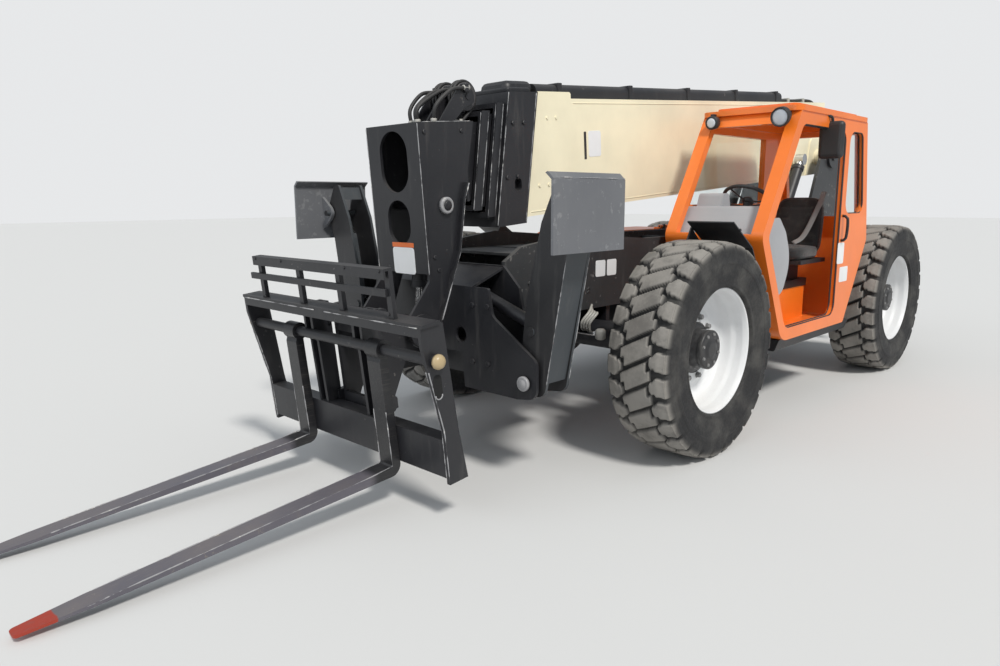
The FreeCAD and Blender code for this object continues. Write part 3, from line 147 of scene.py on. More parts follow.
def weathering_group():
    """Paint worn, chipped, streaked and dusted: noise decides where, the face's slope where dust lies."""
    group, given, out = new_group(
        "weathering",
        [("Paint", "c", (0.5, 0.5, 0.5)), ("Under", "c", (0.2, 0.2, 0.2)), ("Dust", "c", (0.35, 0.32, 0.28)),
         ("Wear", "f", 0.3), ("Dust Amount", "f", 0.3), ("Gloss Roughness", "f", 0.35)],
        [("Color", "c"), ("Roughness", "f"), ("Height", "f")])
    w = Wires(group)
    place = w.place()
    slope = w.parts(w.node("ShaderNodeNewGeometry").outputs["Normal"])
    broad = w.noise(place, 1.7, 4.0)
    fine = w.noise(place, 26.0, 6.0, 0.65)
    specks = w.noise(place, 95.0, 3.0, 0.7)
    streak = w.noise(w.stretched(place, (9.0, 9.0, 1.1)), 2.5, 5.0, 0.6)
    threshold = w.math("SUBTRACT", 0.78, w.times(given.outputs["Wear"], 0.3))
    chips = w.ramp(w.add(w.times(fine, 0.75), w.times(broad, 0.35)), threshold, w.add(threshold, 0.05))
    shade = w.ramp(broad, 0.25, 0.75, 0.9, 1.07)
    grey = w.node("ShaderNodeCombineColor")
    for channel in range(3):
        w.put(grey.inputs[channel], shade)
    tinted = w.mix(1.0, given.outputs["Paint"], grey.outputs[0], "MULTIPLY")
    chipped = w.mix(chips, tinted, given.outputs["Under"])
    lying = w.ramp(slope[2], 0.2, 0.95, 0.15, 1.0)
    grime = w.times(lying, w.ramp(w.add(broad, w.times(specks, 0.3)), 0.45, 0.85))
    runs = w.times(w.ramp(streak, 0.5, 0.8), 0.55)
    dusty = w.times(w.math("MAXIMUM", grime, runs), given.outputs["Dust Amount"], True)
    w.put(out.inputs["Color"], w.mix(dusty, chipped, given.outputs["Dust"]))
    rough = w.add(given.outputs["Gloss Roughness"], w.times(dusty, 0.5))
    w.put(out.inputs["Roughness"], w.add(rough, w.times(w.math("SUBTRACT", fine, 0.5), 0.12), True))
    w.put(out.inputs["Height"], w.math("SUBTRACT", w.times(w.noise(place, 55.0, 2.0), 0.25), chips))
    return group


WEATHER = weathering_group()


def new_material(name):
    made = bpy.data.materials.new(name)
    made.use_nodes = True
    tree = made.node_tree
    return made, Wires(tree), tree.nodes["Principled BSDF"]


def weathered(w, paint, under, dust, wear, dusting, rough):
    """The weathering group inside one material's tree, with its three colours and three amounts set."""
    group = w.node("ShaderNodeGroup")
    group.node_tree = WEATHER
    for label, value in (("Paint", paint), ("Under", under), ("Dust", dust)):
        group.inputs[label].default_value = value + (1.0,)
    for label, value in (("Wear", wear), ("Dust Amount", dusting), ("Gloss Roughness", rough)):
        group.inputs[label].default_value = value
    return group.outputs


def add_relief(w, skin, height, distance, strength=0.5):
    relief = w.node("ShaderNodeBump")
    relief.inputs["Strength"].default_value = strength
    relief.inputs["Distance"].default_value = distance
    w.put(relief.inputs["Height"], height)
    w.put(skin.inputs["Normal"], relief.outputs[0])


def painted(name, paint, under, dust=(0.36, 0.33, 0.29), wear=0.3, dusting=0.3, rough=0.35, bump=0.0012,
            coat=0.0):
    made, w, skin = new_material(name)
    given = weathered(w, paint, under, dust, wear, dusting, rough)
    w.put(skin.inputs["Base Color"], given["Color"])
    w.put(skin.inputs["Roughness"], given["Roughness"])
    add_relief(w, skin, given["Height"], bump)
    skin.inputs["Coat Weight"].default_value = coat
    return made


ORANGE = painted("sun_worn_orange", (0.9, 0.195, 0.016), (0.5, 0.12, 0.03), wear=0.12, dusting=0.12,
                 rough=0.32, coat=0.25)
CREAM = painted("dusty_cream", (0.9, 0.83, 0.61), (0.5, 0.44, 0.32), (0.58, 0.51, 0.39), 0.08, 0.16, 0.38,
                coat=0.15)
BLACK = painted("satin_black", (0.0145, 0.015, 0.0185), (0.11, 0.105, 0.1), (0.16, 0.15, 0.14), 0.35, 0.35,
                0.42)
CHARCOAL = painted("scuffed_charcoal", (0.03, 0.032, 0.035), (0.16, 0.155, 0.15), (0.2, 0.19, 0.175), 0.45,
                   0.45, 0.45)
RIM_WHITE = painted("rim_white_paint", (0.78, 0.79, 0.8), (0.4, 0.38, 0.35), (0.5, 0.46, 0.4), 0.15, 0.3,
                    0.35)
STEEL = painted("scraped_steel", (0.055, 0.052, 0.055), (0.16, 0.15, 0.145), (0.17, 0.155, 0.14), 0.45, 0.35,
                0.34)
PAD_GREY = painted("pad_grey", (0.138, 0.143, 0.156), (0.2, 0.205, 0.215), (0.24, 0.24, 0.23), 0.6, 0.6,
                   0.38)
CASTING = painted("rough_casting", (0.02, 0.02, 0.022), (0.1, 0.1, 0.1), (0.18, 0.17, 0.15), 0.3, 0.5, 0.6,
                  0.004)
PLASTIC = painted("moulded_dark", (0.022, 0.023, 0.025), (0.05, 0.05, 0.05), (0.2, 0.19, 0.18), 0.1, 0.25,
                  0.5)
DASH_GREY = painted("dash_grey", (0.36, 0.37, 0.39), (0.3, 0.3, 0.3), (0.4, 0.39, 0.37), 0.1, 0.25, 0.5)
RUBBER = painted("dusty_rubber", (0.022, 0.021, 0.021), (0.05, 0.048, 0.046), (0.17, 0.155, 0.135), 0.3, 0.75,
                 0.75, 0.002)


def chrome_material():
    made, w, skin = new_material("polished_rod")
    skin.inputs["Metallic"].default_value = 1.0
    smear = w.noise(w.place(), 14.0, 5.0)
    w.put(skin.inputs["Base Color"], w.mix(smear, (0.72, 0.72, 0.73), (0.5, 0.49, 0.47)))
    w.put(skin.inputs["Roughness"], w.ramp(smear, 0.3, 0.8, 0.12, 0.4))
    return made


def glass_material():
    made, w, skin = new_material("cab_glass")
    skin.inputs["Base Color"].default_value = (0.85, 0.9, 0.88, 1.0)
    skin.inputs["Transmission Weight"].default_value = 1.0
    skin.inputs["IOR"].default_value = 1.2
    w.put(skin.inputs["Roughness"], w.ramp(w.noise(w.place(), 6.0, 5.0), 0.4, 0.9, 0.0, 0.12))
    return made


CHROME = chrome_material()
GLASS = glass_material()

# Finishes of the CAD nodes by how their names start; black where none is named
FINISHES = (
    (CHARCOAL, ("chassis_frame", "outrigger_leg")), (CASTING, ("counterweight", "engine_block")),
    (ORANGE, ("engine_hood", "cab_shell", "cab_roof")), (GLASS, ("cab_side_glass",)),
    (DASH_GREY, ("dash_console",)), (PLASTIC, ("steering_wheel", "seat_", "cab_mirror", "work_lamp")),
    (CREAM, ("boom_base",)), (STEEL, ("fork_tines",)), (CHROME, ("lift_rods", "tilt_rod", "outrigger_rod")),
    (RUBBER, ("tyre",)), (RIM_WHITE, ("rim",)), (PAD_GREY, ("outrigger_pad",)))
for part, obj in nodes.items():
    obj.data.materials.clear()
    obj.data.materials.append(next((finish for finish, starts in FINISHES if part.startswith(starts)), BLACK))


def linked(name, data):
    """A new object of the scene, at the origin."""
    obj = bpy.data.objects.new(name, data)
    bpy.context.scene.collection.objects.link(obj)
    return obj


# Surfaces worked out with numpy
def skin_from_grid(name, grid, wrap_rows, wrap_columns, finish, smooth=True):
    """Quads between neighbouring points of a grid (rows, columns, 3); wrap joins the last to the first."""
    rows, columns = grid.shape[:2]
    index = np.arange(rows * columns).reshape(rows, columns)
    below = np.roll(index, -1, axis=0)
    if not wrap_rows:
        index, below = index[:-1], below[:-1]
    right, below_right = np.roll(index, -1, axis=1), np.roll(below, -1, axis=1)
    if not wrap_columns:
        index, below, right, below_right = (a[:, :-1] for a in (index, below, right, below_right))
    quads = np.stack([index, right, below_right, below], axis=-1).reshape(-1, 4)
    mesh = bpy.data.meshes.new(name)
    mesh.from_pydata(grid.reshape(-1, 3).tolist(), [], quads.tolist())
    mesh.polygons.foreach_set("use_smooth", np.full(len(quads), smooth))
    mesh.materials.append(finish)
    mesh.update()
    return linked(name, mesh)


def mark_points(obj, label, values):
    """Writes one number per point, in the grid's own order, for a material to read."""
    made = obj.data.attributes.new(label, "FLOAT", "POINT")
    made.data.foreach_set("value", np.ascontiguousarray(values, dtype=np.float32).ravel())


def step(value, low, high):
    """0 below low, 1 above high, and a smooth S between."""
    t = np.clip((value - low) / (high - low), 0.0, 1.0)
    return t * t * (3.0 - 2.0 * t)


def along_profile(corners, spacing):
    """Points along straight runs between corners, none further apart than spacing."""
    runs = []
    for a, b in zip(corners[:-1], corners[1:]):
        a, b = np.array(a, float), np.array(b, float)
        pieces = max(1, int(math.ceil(np.linalg.norm(b - a) / spacing)))
        share = np.arange(pieces)[:, None] / pieces
        runs.append(a + (b - a) * share)
    runs.append(np.array([corners[-1]], float))
    return np.concatenate(runs)


# Tyre: half its width, the tread's half width, radius and crown, and the lugs' count, depth and slant
TYRE_HALF_W = 0.205
TREAD_HALF = 0.186
TREAD_R = 0.628
TREAD_CROWN = 0.1305
LUGS = 28
LUG_DEPTH = 0.027
LUG_SLANT = 3.6
LUG_POINTS = 20
ROW_BORDER = 0.093
ROW_STEP = 0.012
GROOVE = (0.0065, 0.012)
TYRE_SIDE = [(0.166, 0.3815), (0.176, 0.386), (0.186, 0.391), (0.188, 0.403), (0.185, 0.409), (0.19, 0.43),
             (0.197, 0.47), (0.2015, 0.515), (0.202, 0.52), (0.2045, 0.523), (0.2045, 0.545),
             (0.202, 0.549), (0.2005, 0.57), (0.198, 0.592), (0.1945, 0.606), (0.189, 0.616), (0.182, 0.6235)]


def lug_mask(u, v):
    """Block pattern. u counts lugs round the tyre, v is the place across it in metres. A point stands up
    where it is far enough from the slanted grooves of its row and from the stepped groove between the
    rows."""
    out, v = np.sign(v), np.abs(v)
    centre = u + LUG_SLANT * out * v
    share = centre - np.floor(centre)
    border = ROW_BORDER + out * np.where(share > 0.5, ROW_STEP, -ROW_STEP)
    in_centre = step(0.5 - np.abs(share - 0.5), 0.07, 0.11) * step(border - v, *GROOVE)
    outer = u + LUG_SLANT * out * ROW_BORDER * 0.75 + 0.5 - 1.1 * out * (v - ROW_BORDER)
    cell = np.abs(outer - np.floor(outer) - 0.5)
    notch = 0.018 * step(cell, 0.2, 0.4)
    in_outer = step(0.5 - cell, 0.1, 0.14) * step(v - border - notch, *GROOVE)
    return np.maximum(in_centre, in_outer)


def lugged_tyre(name, centre, side, finish):
    """Carcass profile turned about the axle; points of the tread move out by the lug depth where the block
    pattern stands up, and the shoulders' lugs run a little way down the side wall."""
    side_run = along_profile(TYRE_SIDE, 0.008)
    across = np.linspace(0.1825, -0.1825, 74)
    tread = np.stack([across, TREAD_R - TREAD_CROWN * across ** 2], axis=-1)
    profile = np.concatenate([side_run, tread, side_run[::-1] * np.array([-1.0, 1.0])])
    y, radius = profile[:, 0][None, :], profile[:, 1][None, :]
    u = np.linspace(0, LUGS, LUGS * LUG_POINTS, endpoint=False)[:, None]
    mask = lug_mask(u, np.clip(y, -TREAD_HALF, TREAD_HALF) + 0 * u)
    rise = LUG_DEPTH * step(radius, 0.59, 0.626) * mask * step(radius, 0.588, 0.6)
    push = 0.0045 * step(radius, 0.585, 0.597) * mask * step(np.abs(y), 0.17, 0.185)
    worn = 0.01 * step(np.abs(y), 0.13, 0.186) * mask * step(radius, 0.6, 0.625)
    radius_out = radius + rise - worn
    turn = np.linspace(0, 2 * np.pi, LUGS * LUG_POINTS, endpoint=False)[:, None]
    width = np.clip((y + np.sign(y) * push) * side, -TYRE_HALF_W, TYRE_HALF_W)
    grid = np.stack([radius_out * np.sin(turn) * side, width, radius_out * np.cos(turn)], axis=-1)
    tyre = skin_from_grid(name, (grid + np.array(centre))[:, ::-1], True, True, finish)
    mark_points(tyre, "lug_top", (step(mask, 0.45, 1.0) * step(radius, 0.6, 0.626))[:, ::-1])
    return tyre


def close_poles(obj):
    """Merges the points that meet on an axis, so that a revolved skin is closed there."""
    bm = bmesh.new()
    bm.from_mesh(obj.data)
    bmesh.ops.remove_doubles(bm, verts=bm.verts, dist=1e-6)
    bmesh.ops.dissolve_degenerate(bm, edges=bm.edges, dist=1e-7)
    bmesh.ops.recalc_face_normals(bm, faces=bm.faces)
    bm.to_mesh(obj.data)
    bm.free()
    return obj


def square_to(axis):
    """The axis at length one, and two directions square to it and to each other."""
    axis = np.array(axis, float) / np.linalg.norm(axis)
    helper = np.array([0.0, 0.0, 1.0]) if abs(axis[2]) < 0.9 else np.array([1.0, 0.0, 0.0])
    a = np.cross(axis, helper)
    a /= np.linalg.norm(a)
    return axis, a, np.cross(axis, a)


HEX_RINGS = ((0.0, 1.25), (0.12, 1.25), (0.13, 1.0), (0.85, 1.0), (1.0, 0.84), (1.0, 0.0))


def hex_heads(name, centres, axis, radius, height, finish):
    """Bolt heads about each centre: six-sided rings, each at a share of the height and of the radius. The
    first two are the washer, and the last is drawn in to a point."""
    axis, a, b = square_to(axis)
    turn = np.arange(6)[:, None] * np.pi / 3
    one = np.stack([(np.cos(turn) * a + np.sin(turn) * b) * radius * share + axis * height * rise
                    for rise, share in HEX_RINGS])
    points = (np.array(centres, float)[:, None, None, :] + one[None]).reshape(-1, 3)
    base = np.arange(len(centres)) * len(HEX_RINGS) * 6
    quads = []
    for ring in range(0, 6 * len(HEX_RINGS) - 6, 6):
        for i in range(6):
            j = (i + 1) % 6
            quads.append(np.stack([base + ring + i, base + ring + j, base + ring + 6 + j,
                                   base + ring + 6 + i], axis=-1))
    bottom = np.stack([base + i for i in range(6)], axis=-1)[:, ::-1]
    mesh = bpy.data.meshes.new(name)
    mesh.from_pydata(points.tolist(), [], np.concatenate(quads).tolist() + bottom.tolist())
    mesh.materials.append(finish)
    return close_poles(linked(name, mesh))


def ring_of(centre, axis_side, along, radius, count, phase=0.0):
    """Points on a circle about the axle, at a place along it."""
    turn = np.linspace(0, 2 * np.pi, count, endpoint=False) + phase
    return [(centre[0] + radius * math.cos(t), centre[1] + axis_side * along,
             centre[2] + radius * math.sin(t))
            for t in turn]


RIM_PROFILE = [(0.165, 0.3805), (0.1655, 0.374), (0.161, 0.3695), (0.15, 0.3675), (0.142, 0.36),
               (0.08, 0.356), (0.07, 0.346), (0.012, 0.34), (-0.006, 0.33), (-0.02, 0.3),
               (-0.022, 0.24), (-0.012, 0.225), (-0.01, 0.15), (-0.01, 0.0),
               (-0.0485, 0.0), (-0.0485, 0.3), (-0.05, 0.352), (-0.15, 0.366), (-0.165, 0.371),
               (-0.165, 0.3805), (0.165, 0.3805)]
HUB_PROFILE = [(-0.012, 0.0), (-0.012, 0.158), (0.004, 0.158), (0.006, 0.122), (0.078, 0.116), (0.082, 0.12),
               (0.104, 0.12), (0.108, 0.112), (0.11, 0.06), (0.118, 0.052), (0.119, 0.0)]


# Wheel nuts and hub bolts: place along the axle, circle's radius, count and turn of the first
NUT_CIRCLE = (-0.01, 0.192, 10)
HUB_CIRCLE = (0.108, 0.094, 8, 0.3)


def dress_wheels():
    for place, (centre, side) in WHEELS.items():
        out = (0, side, 0)
        rim = turned_on("rim_skin_" + place, centre, out, RIM_PROFILE, RIM_WHITE, 96, 0.02)
        hub = turned_on("hub_skin_" + place, centre, out, HUB_PROFILE, HUB_BLACK, 64, 0.02)
        nuts = hex_heads("wheel_nuts_" + place, ring_of(centre, side, *NUT_CIRCLE), out, 0.017, 0.024,
                         NUT_STEEL)
        caps = hex_heads("hub_bolts_" + place, ring_of(centre, side, *HUB_CIRCLE), out, 0.01, 0.009,
                         NUT_STEEL)
        for piece in (rim, hub, nuts, caps):
            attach(piece, "wheel_" + place)
        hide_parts("rim_" + place)
        tyre = lugged_tyre("tyre_skin_" + place, centre, side, TYRE)
        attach(tyre, "wheel_" + place)
        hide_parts("tyre_" + place)


def tyre_material():
    """Black side walls; the lugs' worn tops are dusty grey-brown, told apart by the tyre's stored
    lug_top."""
    made, w, skin = new_material("tread_rubber")
    place = w.place()
    tall = w.node("ShaderNodeAttribute", attribute_name="lug_top")
    broad = w.noise(place, 5.0, 5.0, 0.6)
    fine = w.noise(place, 60.0, 4.0, 0.7)
    top = w.times(tall.outputs["Fac"], w.ramp(w.add(broad, w.times(fine, 0.35)), 0.45, 0.8, 0.55, 1.0))
    wall = w.mix(w.ramp(broad, 0.4, 0.75), (0.014, 0.014, 0.015), (0.062, 0.06, 0.056))
    w.put(skin.inputs["Base Color"], w.mix(top, wall, (0.265, 0.25, 0.228)))
    w.put(skin.inputs["Roughness"], w.ramp(fine, 0.2, 0.8, 0.62, 0.88))
    add_relief(w, skin, fine, 0.0015, 0.4)
    return made


def power_of(value, exponent):
    return np.sign(value) * np.abs(value) ** exponent


def stuffed_cushion(name, low, high, lean, channels, finish):
    """A crowned closed cushion: a superellipse in plan, drawn in at top and bottom by a second one, fuller
    in the middle, with a piped seam round its upper edge and sewn channels that press in across it. lean
    shifts the top along X, and channels are shares of the length where the channels lie."""
    low, high = np.array(low), np.array(high)
    centre, half = (low + high) / 2, (high - low) / 2
    rows, columns = 96, 61
    around = np.linspace(0, 2 * np.pi, rows, endpoint=False)[:, None]
    rise = np.linspace(-np.pi / 2, np.pi / 2, columns)[None, :]
    plan_x, plan_y = power_of(np.cos(around), 0.42), power_of(np.sin(around), 0.42)
    draw = power_of(np.cos(rise), 0.34)
    height = power_of(np.sin(rise), 0.5)
    piping = np.exp(-((rise - 0.62) / 0.035) ** 2) * 0.018 - np.exp(-((rise - 0.74) / 0.04) ** 2) * 0.012
    spread = draw * (0.965 + piping)
    x, y = plan_x * spread, plan_y * spread
    crown = height * (0.8 + 0.2 * (1 - np.clip(x * x, 0, 1)) * (1 - np.clip(y * y, 0, 1)))
    upper = height > 0.3
    press = sum(np.exp(-((x - place) / 0.035) ** 2) for place in channels) * upper * (np.abs(y) < 0.75)
    bolster = 0.09 * step(np.abs(y), 0.62, 0.9) * upper
    z = np.where(height > 0, crown, height) - 0.1 * press + bolster * 0.8
    z = np.clip(z, -1.0, 1.0)
    grid = np.stack([centre[0] + half[0] * x + lean * (z + 1) / 2, centre[1] + half[1] * y + 0 * z,
                     centre[2] + half[2] * z], axis=-1)
    return close_poles(skin_from_grid(name, grid, True, False, finish))


def seat_material():
    """Black seat cloth: a fine twill of two crossed waves, lint and a little dust."""
    made, w, skin = new_material("seat_twill")
    place = w.place()
    weave = w.node("ShaderNodeTexWave", wave_type="BANDS", bands_direction="DIAGONAL")
    w.put(weave.inputs["Vector"], place)
    weave.inputs["Scale"].default_value = 140.0
    weave.inputs["Distortion"].default_value = 0.6
    lint = w.noise(place, 12.0, 6.0, 0.7)
    w.put(skin.inputs["Base Color"], w.mix(w.ramp(lint, 0.45, 0.8), (0.014, 0.014, 0.015),
                                           (0.06, 0.058, 0.055)))
    skin.inputs["Roughness"].default_value = 0.8
    skin.inputs["Sheen Weight"].default_value = 0.25
    add_relief(w, skin, w.add(weave.outputs["Fac"], w.times(lint, 1.5)), 0.0008, 0.6)
    return made


SEAT = seat_material()


# Seat back: thickness, what the frame's box is deeper than its lean, and the gap to the frame's back plane
BACK_THICK = 0.105
BACK_SPARE = 0.095
BACK_GAP = 0.003


def dress_seat():
    low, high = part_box("seat_cushion")
    cushion = stuffed_cushion("seat_cushion_skin", low, high, 0.0, (-0.45, -0.05, 0.35), SEAT)
    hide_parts("seat_cushion")
    low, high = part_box("seat_back")
    # Made lying down, then stood up against the frame's own back plane
    thick, tall = BACK_THICK, high[2] - low[2]
    flat = stuffed_cushion("seat_back_skin", (-tall / 2, low[1], -thick / 2), (tall / 2, high[1], thick / 2),
                           0.0, (-0.5, -0.1, 0.3, 0.65), SEAT)
    flat.data.flip_normals()
    count = len(flat.data.vertices)
    points = np.empty(count * 3)
    flat.data.vertices.foreach_get("co", points)
    points = points.reshape(-1, 3)
    lean = (high[0] - low[0] - BACK_SPARE) / tall
    stood = np.stack([points[:, 2] - lean * (points[:, 0] + tall / 2) + high[0] - thick / 2 - BACK_GAP,
                      points[:, 1], points[:, 0] + (low[2] + high[2]) / 2], axis=-1)
    flat.data.vertices.foreach_set("co", stood.ravel())
    flat.data.update()
    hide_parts("seat_back")
    for piece in (cushion, flat):
        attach(piece, "chassis")


# Small parts: pivots (x, z) and slopes of boom and carriage at rest, and the place the cab's lines start from
BOOM_PIVOT = (-3.395084, 1.96)
BOOM_FALL = math.radians(4.5)
CARRIAGE_PIVOT = (1.865, 0.8499)
CARRIAGE_FALL = math.radians(6.2)
CAB_X = -2.835084


def sloped(points, origin, fall):
    """Points given along a sloping part (forward, across, square to it) turned into the scene's frame."""
    points = np.asarray(points, float)
    c, s = math.cos(fall), math.sin(fall)
    x, y, z = points[..., 0], points[..., 1], points[..., 2]
    return np.stack([origin[0] + x * c + z * s, y, origin[1] - x * s + z * c], axis=-1)


def on_boom(points):
    return sloped(points, BOOM_PIVOT, BOOM_FALL)


def on_carriage(points):
    return sloped(points, CARRIAGE_PIVOT, CARRIAGE_FALL)


def directions(placed):
    """A sloping part's own directions: forward, and square to it."""
    origin = placed((0.0, 0, 0))
    return placed((1.0, 0, 0)) - origin, placed((0.0, 0, 1.0)) - origin


UP = (0, 0, 1)
FORWARD, BOOM_UP = directions(on_boom)
CARRIAGE_FORWARD, CARRIAGE_UP = directions(on_carriage)
TREES = {}


def face_hit(node, start, towards):
    """Where a straight line from start first meets a CAD node."""
    if node not in TREES:
        mesh, place = nodes[node].data, nodes[node].matrix_world
        TREES[node] = BVHTree.FromPolygons([place @ v.co for v in mesh.vertices],
                                           [tuple(p.vertices) for p in mesh.polygons])
    point = TREES[node].ray_cast(Vector(start), Vector(towards))[0]
    if point is None:
        print("nothing of", node, "lies ahead of", tuple(start))
        return None
    return np.array(point)


def all_hits(node, starts, towards):
    found = [face_hit(node, start, towards) for start in starts]
    return [point for point in found if point is not None]


def fit(obj, body):
    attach(obj, body)
    return obj


def joined(name, pieces):
    """Several pieces of one finish made into one object."""
    if not pieces:
        raise ValueError(name + " has no pieces")
    bm = bmesh.new()
    finish = pieces[0].data.materials[0]
    for piece in pieces:
        bm.from_mesh(piece.data)
        bpy.data.objects.remove(piece)
    mesh = bpy.data.meshes.new(name)
    bm.to_mesh(mesh)
    bm.free()
    mesh.materials.append(finish)
    return linked(name, mesh)


def turned_on(name, centre, axis, corners, finish, count=40, spacing=0.03):
    """A closed profile of (place along the axis, radius) turned about any axis through centre."""
    axis, a, b = square_to(axis)
    profile = along_profile(corners, spacing)
    turn = np.linspace(0, 2 * np.pi, count, endpoint=False)[:, None, None]
    along, radius = profile[:, 0][None, :, None], profile[:, 1][None, :, None]
    grid = np.array(centre) + along * axis + radius * (np.cos(turn) * a + np.sin(turn) * b)
    return close_poles(skin_from_grid(name, grid, True, False, finish))


def smooth_path(points, spacing=0.02):
    """A Catmull-Rom curve through the points: each span is a cubic of its four nearest points."""
    points = np.array(points, float)
    p = np.concatenate([[2 * points[0] - points[1]], points, [2 * points[-1] - points[-2]]])
    out = []
    for i in range(1, len(p) - 2):
        count = max(2, int(np.linalg.norm(p[i + 1] - p[i]) / spacing))
        t = (np.arange(count) / count)[:, None]
        out.append(0.5 * (2 * p[i] + (p[i + 1] - p[i - 1]) * t
                          + (2 * p[i - 1] - 5 * p[i] + 4 * p[i + 1] - p[i + 2]) * t ** 2
                          + (3 * p[i] - p[i - 1] - 3 * p[i + 1] + p[i + 2]) * t ** 3))
    return np.concatenate(out + [points[-1:]])


def straight_path(points, spacing=0.02):
    return along_profile([tuple(p) for p in points], spacing)


def swept(name, path, radius, finish, count=12, flat=1.0, up=(0, 0, 1)):
    """A skin about a path: ellipses square to it, carried along without twist and drawn to a point at both
    ends. radius is one number or one for each point; flat is the second radius as a share of the first."""
    path = np.asarray(path, float)
    heading = np.gradient(path, axis=0)
    heading /= np.linalg.norm(heading, axis=1)[:, None]
    side = np.cross(heading[0], np.array(up, float))
    if np.linalg.norm(side) < 0.2:
        side = np.cross(heading[0], (1.0, 0.0, 0.0))
    sides = []
    for h in heading:
        side = side - h * np.dot(side, h)
        side = side / np.linalg.norm(side)
        sides.append(side)
    sides = np.array(sides)
    ups = np.cross(heading, sides)
    radius = np.broadcast_to(np.asarray(radius, float), (len(path),))[:, None, None]
    turn = np.linspace(0, 2 * np.pi, count, endpoint=False)[None, :, None]
    rings = path[:, None] + radius * (np.cos(turn) * sides[:, None] + flat * np.sin(turn) * ups[:, None])
    ends = [np.repeat(path[i][None, None], count, axis=1) for i in (0, -1)]
    return close_poles(skin_from_grid(name, np.concatenate([ends[0], rings, ends[1]]), False, True, finish))


def rounded_outline(width, height, radius, steps=4):
    """Corner points of a rounded rectangle about its middle."""
    out = []
    for cx, cy, start in ((1, 1, 0), (-1, 1, 90), (-1, -1, 180), (1, -1, 270)):
        for i in range(steps + 1):
            t = math.radians(start + 90 * i / steps)
            out.append((cx * (width / 2 - radius) + radius * math.cos(t),
                        cy * (height / 2 - radius) + radius * math.sin(t)))
    return out


def plate(name, outline, place, across, up, thick, finish, chamfer=0.3):
    """A plate raised off a face: its outline in two directions, lifted along their cross product, with a
    chamfered edge; the outline is star-shaped about its middle."""
    place, across, up = (np.array(v, float) for v in (place, across, up))
    out = np.cross(across, up)
    outline = np.array(outline, float)
    middle = outline.mean(axis=0)
    spoke = outline - middle
    unit = spoke / np.linalg.norm(spoke, axis=1)[:, None]
    edge = thick * chamfer
    rings = []
    for lift, flat in ((-0.001, middle + 0 * spoke), (-0.001, outline), (thick - edge, outline),
                       (thick, outline - unit * edge), (thick, middle + 0 * spoke)):
        rings.append(place + flat[:, :1] * across + flat[:, 1:] * up + lift * out)
    return close_poles(skin_from_grid(name, np.stack(rings), False, True, finish, False))


def rounded_block(name, low, high, radius, finish, place=None):
    """A block with rounded edges: the points of a small ball moved out to the block's eight corners."""
    low, high = np.array(low, float), np.array(high, float)
    centre, half = (low + high) / 2, (high - low) / 2
    radius = min(radius, 0.98 * half.min())
    quarter = np.linspace(0, np.pi / 2, 4)
    around = np.concatenate([quarter + k * np.pi / 2 for k in range(4)])[:, None]
    sx, sy = np.repeat([1, -1, -1, 1], 4)[:, None], np.repeat([1, 1, -1, -1], 4)[:, None]
    rise = np.concatenate([quarter - np.pi / 2, quarter])[None, :]
    sz = np.repeat([-1, 1], 4)[None, :]
    core = half - radius
    grid = np.stack([sx * core[0] + radius * np.cos(rise) * np.cos(around),
                     sy * core[1] + radius * np.cos(rise) * np.sin(around),
                     sz * core[2] + radius * np.sin(rise) + 0 * around], axis=-1)
    pole = np.zeros((16, 1, 3))
    grid = np.concatenate([pole + (0, 0, -half[2]), grid, pole + (0, 0, half[2])], axis=1) + centre
    if place is not None:
        grid = place(grid)
    obj = close_poles(skin_from_grid(name, grid, True, False, finish))
    for face in obj.data.polygons:
        face.use_smooth = bool(face.area < 1.2 * radius * radius)
    return obj


def wear_and_highlight_edge(name, path, width, seed, finish=None):
    """Bare bright steel along an edge, and on the boom's ribs a painted highlight: a thin skin whose breadth
    wanders by smoothed seeded noise.
    """
    path = straight_path(path, 0.012)
    noise = np.random.default_rng(seed).random(len(path) + 8)
    wander = np.convolve(noise, np.ones(5) / 5, "same")[4:4 + len(path)]
    radius = width * np.clip((wander - 0.34) * 3.6, 0.08, 1.0)
    return swept(name, path, radius, finish or BRIGHT_EDGE, 6)


def weld_bead(name, path, width, finish):
    """A run of weld along a joint: a thin skin that swells and thins evenly, as laid ripples do."""
    path = straight_path(path, 0.008)
    place = np.arange(len(path))
    return swept(name, path, width * (0.86 + 0.14 * np.cos(place * np.pi)), finish, 6)


TYRE = tyre_material()
HUB_BLACK = painted("hub_black", (0.02, 0.02, 0.022), (0.12, 0.115, 0.11), (0.2, 0.19, 0.17), 0.35, 0.35,
                    0.38)
NUT_STEEL = painted("plated_nuts", (0.2, 0.2, 0.2), (0.35, 0.33, 0.3), (0.22, 0.2, 0.17), 0.4, 0.3, 0.35)
# Bright edge paint: worn bare steel, and painted highlights down the boom's rib edges
BRIGHT_EDGE = painted("bright_wear_and_highlight_edge", (0.32, 0.32, 0.33), (0.55, 0.54, 0.52), wear=0.6, dusting=0.15,
                      rough=0.32)
LABEL_WHITE = painted("blank_label_white", (0.82, 0.83, 0.84), (0.6, 0.6, 0.58), wear=0.05, dusting=0.12,
                      rough=0.3)
LABEL_ORANGE = painted("blank_label_orange", (0.75, 0.16, 0.03), (0.5, 0.1, 0.03), wear=0.05, dusting=0.1,
                       rough=0.3)
HOSE = painted("hose_rubber", (0.016, 0.016, 0.017), (0.05, 0.05, 0.05), (0.14, 0.13, 0.12), 0.2, 0.4, 0.55)
SEAL = painted("window_rubber", (0.03, 0.03, 0.032), (0.07, 0.07, 0.07), (0.2, 0.19, 0.18), 0.15, 0.3, 0.6)
ZINC = painted("zinc_fitting", (0.42, 0.41, 0.38), (0.3, 0.28, 0.25), (0.25, 0.22, 0.18), 0.3, 0.35, 0.35)
BRASS = painted("worn_brass_paint", (0.47, 0.36, 0.2), (0.3, 0.22, 0.12), wear=0.5, dusting=0.4, rough=0.35)
